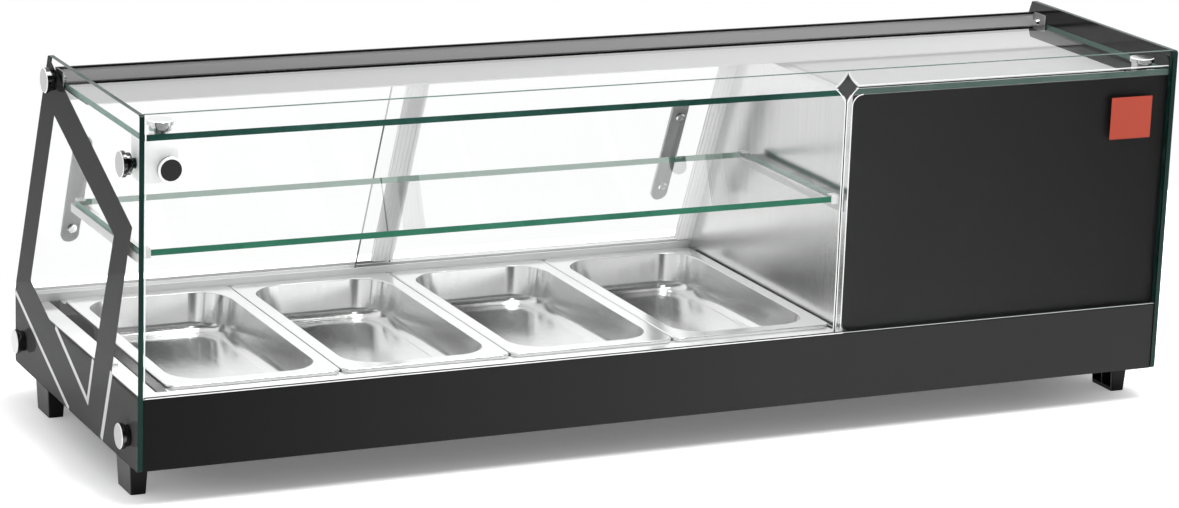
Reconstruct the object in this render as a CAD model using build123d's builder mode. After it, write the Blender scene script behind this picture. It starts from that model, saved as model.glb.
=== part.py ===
"""Refrigerated countertop tapas display case, four GN 1/3 pans, glass shelf and side compressor.

Millimetres. +X runs to the compressor end, +Y to the sliding doors, +Z up. The origin is on the
table, under the middle of the whole case. Distances in the code are counted from the outside of
the left glass (px), from the front of the glass (py) and from the underside of the base (pz).
"""

import os
from math import atan, cos, radians, sin

from build123d import *

os.makedirs("parts", exist_ok=True)

# Overall size
LENGTH = 1125.0
DEPTH = 394.0
GLASS_HEIGHT = 342.0
LEG_HEIGHT = 36.0
PUCK_PROUD = 10.0

# Profile of the side glass: vertical front, flat top, sloping back with a short vertical foot
TOP_DEPTH = 281.0
KINK_HEIGHT = 76.0
SLOPE = (DEPTH - TOP_DEPTH) / (GLASS_HEIGHT - KINK_HEIGHT)
LEAN = atan(SLOPE)

# Sheet and glass thicknesses
SIDE_GLASS = 5.0
FRONT_GLASS = 5.0
TOP_GLASS = 6.0
SHELF_GLASS = 6.0
SHEET = 1.2
GAP = 0.5

# Base
BASE_HEIGHT = 70.0
SETBACK = 1.5
DECK_SHEET = 1.5
WELL_LEFT = 25.0
WELL_RIGHT = 749.0
WELL_FRONT = 22.5
WELL_BACK = 362.0
WELL_FLOOR = 26.0
TRAY_FLOOR = 2.0

# Gastronorm 1/3 pans, 40 deep
PAN_COUNT = 4
PAN_WIDTH = 176.0
PAN_DEPTH = 325.0
PAN_PITCH = 177.5
PAN_DROP = 40.0
PAN_SHEET = 0.8
PAN_FIRST = 38.5
PAN_FRONT = 28.0
RIM_TOP = 73.0
RIM_LIP = 3.7
LEDGE_TOP = 69.0

# Glass levels
TOP_FACE = 322.0
TOP_FRONT = 7.0
TOP_BACK = 247.0
SHELF_FACE = 212.0
SHELF_FRONT = 11.0
SHELF_BACK = 214.0
SHELF_LEFT = 7.0
SHELF_RIGHT = 738.0

# Partition and compressor housing
PARTITION = 750.0
PARTITION_THICK = 14.0
HOUSING_TOP = 312.0

# Glass fixings
PUCK_R = 12.5
PUCK_FOOT = 4.6
PUCK_GROOVE = 0.9
PUCK_BEVEL = 0.7
BOLT_R = 3.0
GLASS_HOLE_R = 5.0
CORNER = 28.0
PUCK_LEVEL = 291.0
SIDE_FIXINGS = [(CORNER, PUCK_LEVEL), (263.0, 321.0), (CORNER, 29.0), (365.0, 29.0)]

# Doors, measured back from the sloping edge of the side glass
INNER_DOOR = 27.0
OUTER_DOOR = 15.0
DOOR_SHEET = 4.0
DOOR_LOW = 75.5
DOOR_HIGH = 306.0
DOOR_WIDTH = 396.0
LEFT_DOOR_START = 8.0
RIGHT_DOOR_START = 360.0
PROFILE_WIDTH = 21.0
HANDLE_WIDTH = 18.5

LEFT = -LENGTH / 2
FRONT = (PUCK_PROUD - SETBACK - DEPTH) / 2
INSIDE_LEFT = SIDE_GLASS + GAP
INSIDE_RIGHT = LENGTH - SIDE_GLASS - GAP


def px(distance):
    """World X of a distance from the outside of the left glass."""
    return LEFT + distance


def py(distance):
    """World Y of a distance from the front of the glass."""
    return FRONT + distance


def pz(height):
    """World Z of a height above the underside of the base."""
    return LEG_HEIGHT + height


def slab(x0, x1, y0, y1, z0, z1, mode=Mode.ADD):
    """A box between six distances, added to the builder that is open."""
    centre = (px((x0 + x1) / 2), py((y0 + y1) / 2), pz((z0 + z1) / 2))
    with Locations(centre):
        Box(x1 - x0, y1 - y0, z1 - z0, mode=mode)


def outline(points):
    """A closed face through (depth, height) points on an open YZ sketch."""
    with BuildLine() as edge:
        Polyline(*[(py(y), pz(z)) for y, z in points], close=True)
    make_face(edge.edges())


def rod(x, y, z, radius, length, axis=Axis.X, mode=Mode.ADD):
    """A cylinder that starts at a point and runs along an axis."""
    start = Vector(px(x), py(y), pz(z))
    with BuildSketch(Plane(origin=start, z_dir=axis.direction)) as disc:
        Circle(radius)
    extrude(disc.sketch, amount=length, mode=mode)


def rear(offset, height):
    """Depth of a plane parallel to the sloping back edge, offset towards the front."""
    return DEPTH - offset - SLOPE * (height - KINK_HEIGHT)


def save(builder, name):
    builder.part.label = name
    export_step(builder.part, f"parts/{name}.step")


# Feet: tapered plastic legs, open and ribbed on the side that faces the middle
LEG_FOOT = (15.5, 39.0)
LEG_HEAD = (19.5, 43.0)
LEG_WALL = 2.0
LEG_CENTRES = {
    "leg_front_left": (15.5, 62.5, 1),
    "leg_back_left": (15.5, 323.0, 1),
    "leg_front_right": (LENGTH - 15.5, 62.5, -1),
    "leg_back_right": (LENGTH - 15.5, 323.0, -1),
}

for name, (x, y, inward) in LEG_CENTRES.items():
    with BuildPart() as leg:
        with BuildSketch(Plane.XY):
            with Locations((px(x), py(y))):
                RectangleRounded(*LEG_FOOT, 2.0)
        with BuildSketch(Plane.XY.offset(pz(TRAY_FLOOR))):
            with Locations((px(x), py(y))):
                RectangleRounded(*LEG_HEAD, 2.0)
        loft()
        pocket = LEG_FOOT[1] / 2 - 1.5 * LEG_WALL
        for side in (-1, 1):
            y_mid = y + side * (pocket / 2 + LEG_WALL / 2)
            x_in = x + inward * (LEG_HEAD[0] / 2 + 1)
            x_out = x - inward * (LEG_FOOT[0] / 2 - LEG_WALL)
            slab(min(x_in, x_out), max(x_in, x_out), y_mid - pocket / 2, y_mid + pocket / 2,
                 4.0 - LEG_HEIGHT, -4.0, mode=Mode.SUBTRACT)
        rod(x, y, TRAY_FLOOR - 12, 2.5, 12, axis=Axis.Z, mode=Mode.SUBTRACT)
    save(leg, name)

# Base: folded tray, front fascia, deck, cold well, foam and refrigerant coil
TRAY_BACK = 391.0
GLAND_X = 1060.0
GLAND_Z = 34.0
GLAND_R = 9.0
DRAIN_X = 387.0
DRAIN_Y = 190.0
DRAIN_R = 8.0

with BuildPart() as base_tray:
    slab(INSIDE_LEFT, INSIDE_RIGHT, SETBACK + SHEET, TRAY_BACK, TRAY_FLOOR, BASE_HEIGHT - DECK_SHEET)
    slab(INSIDE_LEFT + SHEET, INSIDE_RIGHT - SHEET, SETBACK + 2 * SHEET, TRAY_BACK - SHEET,
         TRAY_FLOOR + SHEET, BASE_HEIGHT, mode=Mode.SUBTRACT)
    rod(GLAND_X, TRAY_BACK - 5, GLAND_Z, GLAND_R, 10, axis=Axis.Y, mode=Mode.SUBTRACT)
    rod(DRAIN_X, DRAIN_Y, 0, DRAIN_R, 10, axis=Axis.Z, mode=Mode.SUBTRACT)
    for x in (0, LENGTH - 20):
        for y, z in SIDE_FIXINGS[2:]:
            rod(x, y, z, BOLT_R + 0.2, 20, mode=Mode.SUBTRACT)
    for x, y, inward in LEG_CENTRES.values():
        rod(x, y, 0, 2.5, 6, axis=Axis.Z, mode=Mode.SUBTRACT)
save(base_tray, "base_tray")

FASCIA_RETURN = 12.0

with BuildPart() as front_fascia:
    with BuildSketch(Plane.YZ.offset(px(INSIDE_LEFT))):
        outline([
            (SETBACK, 0),
            (SETBACK + FASCIA_RETURN, 0),
            (SETBACK + FASCIA_RETURN, SHEET),
            (SETBACK + SHEET, SHEET),
            (SETBACK + SHEET, BASE_HEIGHT),
            (SETBACK, BASE_HEIGHT),
        ])
    extrude(amount=INSIDE_RIGHT - INSIDE_LEFT)
    front_edges = front_fascia.edges().filter_by(Axis.X).group_by(Axis.Y)[0]
    fillet(front_edges, radius=0.8)
save(front_fascia, "front_fascia")

DECK_BACK = 389.0
DECK_FRONT = SETBACK + SHEET
PIPE_R = 3.0
PIPE_X = PARTITION + PARTITION_THICK + 9.0
COIL_MARGIN = 34.0
COIL_FRONT = WELL_FRONT + COIL_MARGIN
COIL_BACK = WELL_BACK - COIL_MARGIN

with BuildPart() as deck:
    slab(INSIDE_LEFT, INSIDE_RIGHT, DECK_FRONT, DECK_BACK, BASE_HEIGHT - DECK_SHEET, BASE_HEIGHT)
    slab(WELL_LEFT, WELL_RIGHT, WELL_FRONT, WELL_BACK, BASE_HEIGHT - 5, BASE_HEIGHT + 5,
         mode=Mode.SUBTRACT)
    well_corners = deck.edges().filter_by(Axis.Z).filter_by_position(
        Axis.X, px(WELL_LEFT) - 1, px(WELL_RIGHT) + 1)
    fillet(well_corners, radius=3.0)
    for y in (COIL_FRONT, COIL_BACK):
        rod(PIPE_X, y, BASE_HEIGHT - 10, PIPE_R + 2, 20, axis=Axis.Z, mode=Mode.SUBTRACT)
save(deck, "deck")

WELL_LIP = 4.0

with BuildPart() as well_liner:
    slab(WELL_LEFT - SHEET, WELL_RIGHT + SHEET, WELL_FRONT - SHEET, WELL_BACK + SHEET,
         WELL_FLOOR - SHEET, BASE_HEIGHT - DECK_SHEET)
    slab(WELL_LEFT - WELL_LIP, WELL_RIGHT + WELL_LIP, WELL_FRONT - WELL_LIP, WELL_BACK + WELL_LIP,
         BASE_HEIGHT - DECK_SHEET - SHEET, BASE_HEIGHT - DECK_SHEET)
    slab(WELL_LEFT, WELL_RIGHT, WELL_FRONT, WELL_BACK, WELL_FLOOR, BASE_HEIGHT,
         mode=Mode.SUBTRACT)
    rod(DRAIN_X, DRAIN_Y, WELL_FLOOR - 5, DRAIN_R, 10, axis=Axis.Z, mode=Mode.SUBTRACT)
save(well_liner, "well_liner")

LEDGE_LEFT = 37.5
LEDGE_RIGHT = WELL_RIGHT - 3.0
LEDGE_WIDTH = 12.5
LEDGE_DROP = 16.0

with BuildPart() as pan_rails:
    for y_wall, y_edge in ((WELL_FRONT, WELL_FRONT + LEDGE_WIDTH), (WELL_BACK, WELL_BACK - LEDGE_WIDTH)):
        y_inner = y_wall + SHEET if y_edge > y_wall else y_wall - SHEET
        slab(LEDGE_LEFT, LEDGE_RIGHT, min(y_wall, y_edge), max(y_wall, y_edge),
             LEDGE_TOP - SHEET, LEDGE_TOP)
        slab(LEDGE_LEFT, LEDGE_RIGHT, min(y_wall, y_inner), max(y_wall, y_inner),
             LEDGE_TOP - LEDGE_DROP, LEDGE_TOP)
save(pan_rails, "pan_rails")

FOAM_RIGHT = 762.0
COIL_R = 4.0
COIL_Z = WELL_FLOOR - SHEET - COIL_R
COIL_PASSES = 6
FOAM_TOP = BASE_HEIGHT - DECK_SHEET - SHEET

with BuildPart() as insulation:
    slab(INSIDE_LEFT + SHEET, FOAM_RIGHT, SETBACK + FASCIA_RETURN, TRAY_BACK - SHEET,
         TRAY_FLOOR + SHEET, FOAM_TOP)
    slab(WELL_LEFT - SHEET, WELL_RIGHT + SHEET, WELL_FRONT - SHEET, WELL_BACK + SHEET,
         COIL_Z - COIL_R - 0.5, FOAM_TOP + 1, mode=Mode.SUBTRACT)
    rod(DRAIN_X, DRAIN_Y, 0, DRAIN_R + 2, WELL_FLOOR, axis=Axis.Z, mode=Mode.SUBTRACT)
    for y in (COIL_FRONT, COIL_BACK):
        slab(PARTITION, FOAM_RIGHT + 1, y - 2 * PIPE_R, y + 2 * PIPE_R, COIL_Z - 2 * PIPE_R,
             FOAM_TOP + 1, mode=Mode.SUBTRACT)
    for y, z in SIDE_FIXINGS[2:]:
        rod(0, y, z, 8, 17, mode=Mode.SUBTRACT)
    with BuildSketch(Plane.YZ.offset(px(PARTITION + SHEET))):
        outline([
            (11.0, BASE_HEIGHT + SHEET),
            (rear(42.0, BASE_HEIGHT), BASE_HEIGHT + SHEET),
            (rear(42.0, HOUSING_TOP - 3), HOUSING_TOP - 3),
            (11.0, HOUSING_TOP - 3),
        ])
    extrude(amount=PARTITION_THICK - 2 * SHEET)
save(insulation, "insulation")

coil_step = (COIL_BACK - COIL_FRONT) / (COIL_PASSES - 1)
coil_ends = (WELL_RIGHT - COIL_MARGIN, WELL_LEFT + COIL_MARGIN)

coil_points = []
for turn in range(COIL_PASSES):
    y_pass = COIL_FRONT + turn * coil_step
    first, last = coil_ends if turn % 2 == 0 else coil_ends[::-1]
    coil_points += [(px(first), py(y_pass), pz(COIL_Z)), (px(last), py(y_pass), pz(COIL_Z))]

with BuildPart() as evaporator_coil:
    with BuildLine() as coil_path:
        FilletPolyline(*coil_points, radius=coil_step * 0.45)
    with BuildSketch(Plane(origin=coil_points[0], z_dir=(-1, 0, 0))):
        Circle(COIL_R)
    sweep()
save(evaporator_coil, "evaporator_coil")

with BuildPart() as drain_plug:
    rod(DRAIN_X, DRAIN_Y, -6, DRAIN_R - 1, WELL_FLOOR + 5, axis=Axis.Z)
    rod(DRAIN_X, DRAIN_Y, WELL_FLOOR, DRAIN_R + 4, 1.5, axis=Axis.Z)
    rod(DRAIN_X, DRAIN_Y, -6, DRAIN_R + 3, 4, axis=Axis.Z)
save(drain_plug, "drain_plug")

# Pans: pressed stainless, tapered basin, flat rim with a turned-down lip
RIM_SIDE = 12.5
RIM_END = 14.0
BASIN_R = 36.0
BASIN_TAPER = 7.0
BASIN_FILLET = 13.0
RIM_R = 9.0


def basin(x, y, inset, depth_inset):
    """The pan's tapered inside or outside, inset by the sheet's thickness."""
    wide = PAN_WIDTH - 2 * (RIM_SIDE + inset)
    deep = PAN_DEPTH - 2 * (RIM_END + inset)
    floor = pz(RIM_TOP - PAN_DROP + depth_inset)
    with BuildPart(mode=Mode.PRIVATE) as hollow:
        with BuildSketch(Plane.XY.offset(pz(RIM_TOP))):
            with Locations((x, y)):
                RectangleRounded(wide, deep, BASIN_R - inset)
        with BuildSketch(Plane.XY.offset(floor)):
            with Locations((x, y)):
                RectangleRounded(wide - 2 * BASIN_TAPER, deep - 2 * BASIN_TAPER,
                                 BASIN_R - inset - BASIN_TAPER / 2)
        loft()
        fillet(hollow.faces().sort_by(Axis.Z)[0].edges(), radius=BASIN_FILLET - inset)
    return hollow.part


for number in range(PAN_COUNT):
    pan_x = px(PAN_FIRST + number * PAN_PITCH + PAN_WIDTH / 2)
    pan_y = py(PAN_FRONT + PAN_DEPTH / 2)
    outside = basin(pan_x, pan_y, 0, 0)
    inside = basin(pan_x, pan_y, PAN_SHEET, PAN_SHEET)
    with BuildPart() as pan:
        with BuildSketch(Plane.XY.offset(pz(RIM_TOP - RIM_LIP))):
            with Locations((pan_x, pan_y)):
                RectangleRounded(PAN_WIDTH, PAN_DEPTH, RIM_R)
        extrude(amount=RIM_LIP)
        fillet(pan.faces().sort_by(Axis.Z)[-1].edges(), radius=1.2)
        with BuildSketch(Plane.XY.offset(pz(RIM_TOP - RIM_LIP))):
            with Locations((pan_x, pan_y)):
                RectangleRounded(PAN_WIDTH - 2, PAN_DEPTH - 2, RIM_R - 1)
        extrude(amount=RIM_LIP - 1, mode=Mode.SUBTRACT)
        add(outside)
        add(inside, mode=Mode.SUBTRACT)
        basin_mouth = pan.faces().sort_by(Axis.Z)[-1].inner_wires()[0].edges()
        fillet(basin_mouth, radius=0.7)
    save(pan, f"pan_{number + 1}")

# Glass panes
SIDE_PROFILE = [
    (0, 0),
    (DEPTH, 0),
    (DEPTH, KINK_HEIGHT),
    (TOP_DEPTH, GLASS_HEIGHT),
    (0, GLASS_HEIGHT),
]


def drilled(x, y, z, axis):
    """A fixing hole through a pane, drilled from a point on its outside."""
    rod(x, y, z, GLASS_HOLE_R, 4 * TOP_GLASS, axis=axis, mode=Mode.SUBTRACT)


for name, x0 in (("left_side_glass", 0.0), ("right_side_glass", LENGTH - SIDE_GLASS)):
    with BuildPart() as side_glass:
        with BuildSketch(Plane.YZ.offset(px(x0))) as pane:
            outline(SIDE_PROFILE)
            fillet(pane.vertices(), radius=3.5)
        extrude(amount=SIDE_GLASS)
        for y, z in SIDE_FIXINGS:
            drilled(x0 - 2, y, z, Axis.X)
    save(side_glass, name)

with BuildPart() as front_glass:
    slab(INSIDE_LEFT, INSIDE_RIGHT, SETBACK, SETBACK + FRONT_GLASS, BASE_HEIGHT + GAP, GLASS_HEIGHT)
    drilled(CORNER, -2, PUCK_LEVEL, Axis.Y)
save(front_glass, "front_glass")

TOP_FIXING_Y = 24.0

with BuildPart() as top_glass:
    slab(INSIDE_LEFT, INSIDE_RIGHT, TOP_FRONT, TOP_BACK, TOP_FACE - TOP_GLASS, TOP_FACE)
    for x in (CORNER, LENGTH - CORNER):
        drilled(x, TOP_FIXING_Y, TOP_FACE - TOP_GLASS - 2, Axis.Z)
save(top_glass, "top_glass")

with BuildPart() as shelf_glass:
    slab(SHELF_LEFT, SHELF_RIGHT, SHELF_FRONT, SHELF_BACK, SHELF_FACE - SHELF_GLASS, SHELF_FACE)
    upright = shelf_glass.edges().filter_by(Axis.Z)
    fillet(upright, radius=2.0)
save(shelf_glass, "shelf_glass")

# Shelf supports: rails under both ends, the left one on a leaning leg that stands on the deck
RAIL_HEIGHT = 8.0
RAIL_TOP = SHELF_FACE - SHELF_GLASS
RAIL_FRONT = 22.0
RAIL_BACK = 224.0
LEG_TOP_FRONT = 64.0
LEG_TOP_BACK = 84.0
LEG_RUN = SLOPE * (RAIL_TOP - RAIL_HEIGHT - BASE_HEIGHT)

with BuildPart() as shelf_bracket_left:
    with BuildSketch(Plane.YZ.offset(px(INSIDE_LEFT))) as web:
        outline([
            (RAIL_FRONT, RAIL_TOP),
            (RAIL_BACK, RAIL_TOP),
            (RAIL_BACK, RAIL_TOP - RAIL_HEIGHT),
            (LEG_TOP_BACK + 12, RAIL_TOP - RAIL_HEIGHT),
            (LEG_TOP_BACK + 6, RAIL_TOP - RAIL_HEIGHT - 12),
            (LEG_TOP_BACK + 6 + LEG_RUN, BASE_HEIGHT),
            (LEG_TOP_FRONT + LEG_RUN, BASE_HEIGHT),
            (LEG_TOP_FRONT, RAIL_TOP - RAIL_HEIGHT),
            (RAIL_FRONT, RAIL_TOP - RAIL_HEIGHT),
        ])
    extrude(amount=3.0)
    slab(INSIDE_LEFT, INSIDE_LEFT + 14, RAIL_FRONT, RAIL_BACK, RAIL_TOP - 2, RAIL_TOP)
    slab(INSIDE_LEFT, INSIDE_LEFT + 14, LEG_TOP_FRONT + LEG_RUN, LEG_TOP_BACK + 6 + LEG_RUN,
         BASE_HEIGHT, BASE_HEIGHT + 2)
save(shelf_bracket_left, "shelf_bracket_left")

with BuildPart() as shelf_bracket_right:
    slab(PARTITION - 2, PARTITION, RAIL_FRONT, RAIL_BACK, RAIL_TOP - 14, RAIL_TOP)
    slab(PARTITION - 16, PARTITION, RAIL_FRONT, RAIL_BACK, RAIL_TOP - 2, RAIL_TOP)
save(shelf_bracket_right, "shelf_bracket_right")

CLIP_REACH = 8.0
CLIP_WALL = 1.5

with BuildPart() as shelf_clips:
    for x, reach in ((SHELF_LEFT, 1), (SHELF_RIGHT, -1)):
        for y, inward in ((SHELF_FRONT, 1), (SHELF_BACK, -1)):
            x_a, x_b = sorted((x, x + reach * CLIP_REACH))
            y_a, y_b = sorted((y - inward * CLIP_WALL, y + inward * CLIP_REACH))
            slab(x_a, x_b, y_a, y_b, RAIL_TOP - CLIP_WALL, SHELF_FACE + CLIP_WALL)
            y_c, y_d = sorted((y, y + inward * (CLIP_REACH + 1)))
            slab(x_a - 1, x_b + 1, y_c, y_d, RAIL_TOP, SHELF_FACE, mode=Mode.SUBTRACT)
    slab(0, LENGTH, RAIL_FRONT, RAIL_BACK, RAIL_TOP - 5, RAIL_TOP, mode=Mode.SUBTRACT)
save(shelf_clips, "shelf_clips")

# Rear rail: sheet under the back of the top glass, with an upstand and drilled end tabs
RAIL_PLATE_FRONT = 172.0
RAIL_PLATE_BACK = 274.0
RAIL_PLATE_TOP = TOP_FACE - TOP_GLASS
UPSTAND_TOP = 331.0
TAB_FRONT = 250.0

with BuildPart() as rear_rail:
    with BuildSketch(Plane.YZ.offset(px(INSIDE_LEFT))):
        outline([
            (RAIL_PLATE_FRONT, RAIL_PLATE_TOP),
            (RAIL_PLATE_BACK - SHEET, RAIL_PLATE_TOP),
            (RAIL_PLATE_BACK - SHEET, UPSTAND_TOP),
            (RAIL_PLATE_BACK, UPSTAND_TOP),
            (RAIL_PLATE_BACK, RAIL_PLATE_TOP - SHEET),
            (RAIL_PLATE_FRONT, RAIL_PLATE_TOP - SHEET),
        ])
    extrude(amount=INSIDE_RIGHT - INSIDE_LEFT)
    for x0, x1 in ((INSIDE_LEFT, INSIDE_LEFT + 2), (INSIDE_RIGHT - 2, INSIDE_RIGHT)):
        slab(x0, x1, TAB_FRONT, RAIL_PLATE_BACK - SHEET, RAIL_PLATE_TOP, UPSTAND_TOP)
    for x in (0, LENGTH - 20):
        rod(x, *SIDE_FIXINGS[1], BOLT_R + 0.2, 20, mode=Mode.SUBTRACT)
save(rear_rail, "rear_rail")

# Door tracks: three fins parallel to the doors make two sliding slots
FIN = 1.5
TRACK_FRONT = INNER_DOOR + DOOR_SHEET + 4.5
TRACK_BACK = OUTER_DOOR - 4.5
TRACK_MIDDLE = (INNER_DOOR + OUTER_DOOR + DOOR_SHEET) / 2 + FIN / 2
FIN_BACKS = (TRACK_FRONT, TRACK_MIDDLE, TRACK_BACK + FIN)
TRACK_END = PARTITION + 10.0


def track(z_web, z_fin, z_thick):
    """Sliding track: a flat web with slanted fins that stop at z_fin."""
    low, high = sorted((z_web, z_web + z_thick))
    slab(INSIDE_LEFT, TRACK_END, rear(TRACK_FRONT, z_web), rear(TRACK_BACK, z_web), low, high)
    for offset in FIN_BACKS:
        with BuildSketch(Plane.YZ.offset(px(INSIDE_LEFT))) as fin:
            outline([
                (rear(offset, z_web), z_web),
                (rear(offset, z_fin), z_fin),
                (rear(offset - FIN, z_fin), z_fin),
                (rear(offset - FIN, z_web), z_web),
            ])
        extrude(fin.sketch, amount=TRACK_END - INSIDE_LEFT)


with BuildPart() as door_track_bottom:
    track(BASE_HEIGHT, BASE_HEIGHT + 9, 2.0)
save(door_track_bottom, "door_track_bottom")

with BuildPart() as door_track_top:
    track(RAIL_PLATE_TOP - SHEET, RAIL_PLATE_TOP - SHEET - 15, -2.0)
save(door_track_top, "door_track_top")

# Sliding doors: clear panel, ribbed edge profile, flat strap handle on the outside
DOOR_PANEL_BOTTOM = BASE_HEIGHT + 2.5
PROFILE_THICK = 7.0
HANDLE_LOW = 132.0
HANDLE_HIGH = 252.0
HANDLE_THICK = 4.5
HANDLE_SCREW = 18.0
RIB_COUNT = 4
SCREW_HEAD_R = 5.0
SCREW_HEAD = 1.8
SCREW_SOCKET_R = 1.7


def slanted(x0, x1, offset, thick, z0, z1, mode=Mode.ADD):
    """A flat bar parallel to the sloping back, between two heights."""
    with BuildSketch(Plane.YZ.offset(px(x0))) as bar:
        outline([
            (rear(offset + thick, z0), z0),
            (rear(offset, z0), z0),
            (rear(offset, z1), z1),
            (rear(offset + thick, z1), z1),
        ])
    extrude(bar.sketch, amount=x1 - x0, mode=mode)


def door_plane(x, offset, height):
    """Work plane on the back face of a door: its X runs along +X, its Y up the slope."""
    origin = (px(x), py(rear(offset, height)), pz(height))
    return Plane(origin=origin, x_dir=(1, 0, 0), z_dir=(0, -cos(LEAN), -sin(LEAN)))


def door_set(side, start, offset, handle_x):
    """One door: panel, edge profile, handle and handle screws."""
    end = start + DOOR_WIDTH
    with BuildPart() as panel:
        slanted(start, end, offset, DOOR_SHEET, DOOR_PANEL_BOTTOM, DOOR_HIGH)
        for height in (HANDLE_LOW + HANDLE_SCREW, HANDLE_HIGH - HANDLE_SCREW):
            with BuildSketch(door_plane(handle_x, offset, height).offset(-2)):
                Circle(BOLT_R + 0.2)
            extrude(amount=8, mode=Mode.SUBTRACT)
    save(panel, f"{side}_door_panel")

    with BuildPart() as profile:
        slanted(end - PROFILE_WIDTH, end + 1.5, offset - 1.5, PROFILE_THICK,
                DOOR_LOW + 5, DOOR_HIGH - 8)
        slanted(end - PROFILE_WIDTH - 1, end, offset, DOOR_SHEET, DOOR_LOW, DOOR_HIGH,
                mode=Mode.SUBTRACT)
        for rib in range(RIB_COUNT):
            groove = end - PROFILE_WIDTH + 3 + rib * 4.5
            slanted(groove, groove + 1.5, offset + DOOR_SHEET + 0.9, 2.0, DOOR_LOW, DOOR_HIGH,
                    mode=Mode.SUBTRACT)
    save(profile, f"{side}_door_profile")

    middle = (HANDLE_LOW + HANDLE_HIGH) / 2
    strap = (HANDLE_HIGH - HANDLE_LOW) / cos(LEAN)
    reach = strap / 2 - HANDLE_SCREW / cos(LEAN)
    spots = [(0, -reach), (0, reach)]
    face = door_plane(handle_x, offset, middle)
    with BuildPart() as handle:
        with BuildSketch(face):
            SlotOverall(strap, HANDLE_WIDTH, rotation=90)
        extrude(amount=-HANDLE_THICK)
        far_side = handle.faces().sort_by_distance(face.offset(-2 * HANDLE_THICK).origin)[0]
        fillet(far_side.edges(), radius=1.5)
        with BuildSketch(face):
            with Locations(*spots):
                Circle(BOLT_R - 0.2)
        extrude(amount=-(HANDLE_THICK - 1), mode=Mode.SUBTRACT)
    save(handle, f"{side}_door_handle")

    inside = face.offset(DOOR_SHEET * cos(LEAN))
    with BuildPart() as screws:
        with BuildSketch(inside):
            with Locations(*spots):
                Circle(SCREW_HEAD_R)
        extrude(amount=SCREW_HEAD, taper=20)
        with BuildSketch(inside.offset(SCREW_HEAD)):
            with Locations(*spots):
                Circle(SCREW_SOCKET_R)
        extrude(amount=-SCREW_HEAD / 2, mode=Mode.SUBTRACT)
        with BuildSketch(inside):
            with Locations(*spots):
                Circle(BOLT_R - 0.2)
        extrude(amount=-(DOOR_SHEET * cos(LEAN) + HANDLE_THICK - 1))
    save(screws, f"{side}_handle_screws")


door_set("left", LEFT_DOOR_START, OUTER_DOOR, 44.8)
door_set("right", RIGHT_DOOR_START, INNER_DOOR, 701.5)

# Polished three-way corner brackets, glass discs, bolts and nuts
PLATE = 3.0
ARM = 40.0
ARM_R = 9.0


def corner_plates(x_wall, reach, y_wall, front_plate):
    """Plates that meet in the corner of the side, top and, where wanted, front glass."""
    x_far = x_wall + reach * (ARM - INSIDE_LEFT)
    x_a, x_b = sorted((x_wall, x_far))
    x_c, x_d = sorted((x_wall, x_wall + reach * PLATE))
    z_wall = TOP_FACE - TOP_GLASS
    z_low = z_wall - ARM
    slab(x_a, x_b, max(TOP_FRONT, y_wall), ARM, z_wall - PLATE, z_wall)
    slab(x_c, x_d, y_wall, ARM, z_low, z_wall)
    rounded = [
        (Axis.Z, Vector(px(x_far), py(ARM), pz(z_wall))),
        (Axis.X, Vector(px(x_wall), py(ARM), pz(z_low))),
    ]
    if front_plate:
        slab(x_a, x_b, y_wall, y_wall + PLATE, z_low, z_wall)
        rounded.append((Axis.Y, Vector(px(x_far), py(y_wall), pz(z_low))))
    return rounded


PANEL_FRONT = SETBACK + FRONT_GLASS + 0.3
BRACKET_FRONTS = (SETBACK + FRONT_GLASS, PANEL_FRONT + SHEET + 0.2)

for name, x_wall, reach, x_fix, y_wall in (
    ("corner_bracket_left", INSIDE_LEFT, 1, CORNER, BRACKET_FRONTS[0]),
    ("corner_bracket_right", INSIDE_RIGHT, -1, LENGTH - CORNER, BRACKET_FRONTS[1]),
):
    at_left = reach > 0
    with BuildPart() as bracket:
        for axis, spot in corner_plates(x_wall, reach, y_wall, at_left):
            fillet(bracket.edges().filter_by(axis).sort_by_distance(spot)[0], radius=ARM_R)
        rod(x_fix, TOP_FIXING_Y, TOP_FACE - 15, BOLT_R + 0.2, 20, axis=Axis.Z, mode=Mode.SUBTRACT)
        if at_left:
            rod(x_fix, 0, PUCK_LEVEL, BOLT_R + 0.2, 20, axis=Axis.Y, mode=Mode.SUBTRACT)
        x_side = INSIDE_LEFT - 5 if at_left else INSIDE_RIGHT - 15
        rod(x_side, CORNER, PUCK_LEVEL, BOLT_R + 0.2, 20, axis=Axis.X, mode=Mode.SUBTRACT)
    save(bracket, name)


def turned(plane, radius, length, taper=0.0):
    """A disc or stud on a plane, in the builder that is open."""
    with BuildSketch(plane) as disc:
        Circle(radius)
    extrude(disc.sketch, amount=length, taper=taper)


def puck(plane):
    """A turned cap on a smaller foot with a groove between them, its foot on the plane."""
    turned(plane, PUCK_R - 2, PUCK_FOOT)
    turned(plane.offset(PUCK_FOOT), PUCK_R - 3, PUCK_GROOVE)
    cap = PUCK_FOOT + PUCK_GROOVE
    turned(plane.offset(cap), PUCK_R, PUCK_PROUD - cap - PUCK_BEVEL)
    turned(plane.offset(PUCK_PROUD - PUCK_BEVEL), PUCK_R, PUCK_BEVEL, taper=45)


def bolt(plane, grip):
    """A threaded stud from a disc through the glass, and its domed nut."""
    turned(plane, BOLT_R - 0.2, -grip - 4)
    turned(plane.offset(-grip), 5.0, -4.0, taper=12)


def side_plane(y, z, side):
    """Plane on the outside of a side glass, facing outwards."""
    x = px(0) if side < 0 else px(LENGTH)
    return Plane(origin=(x, py(y), pz(z)), x_dir=(0, 1, 0), z_dir=(side, 0, 0))


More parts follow.
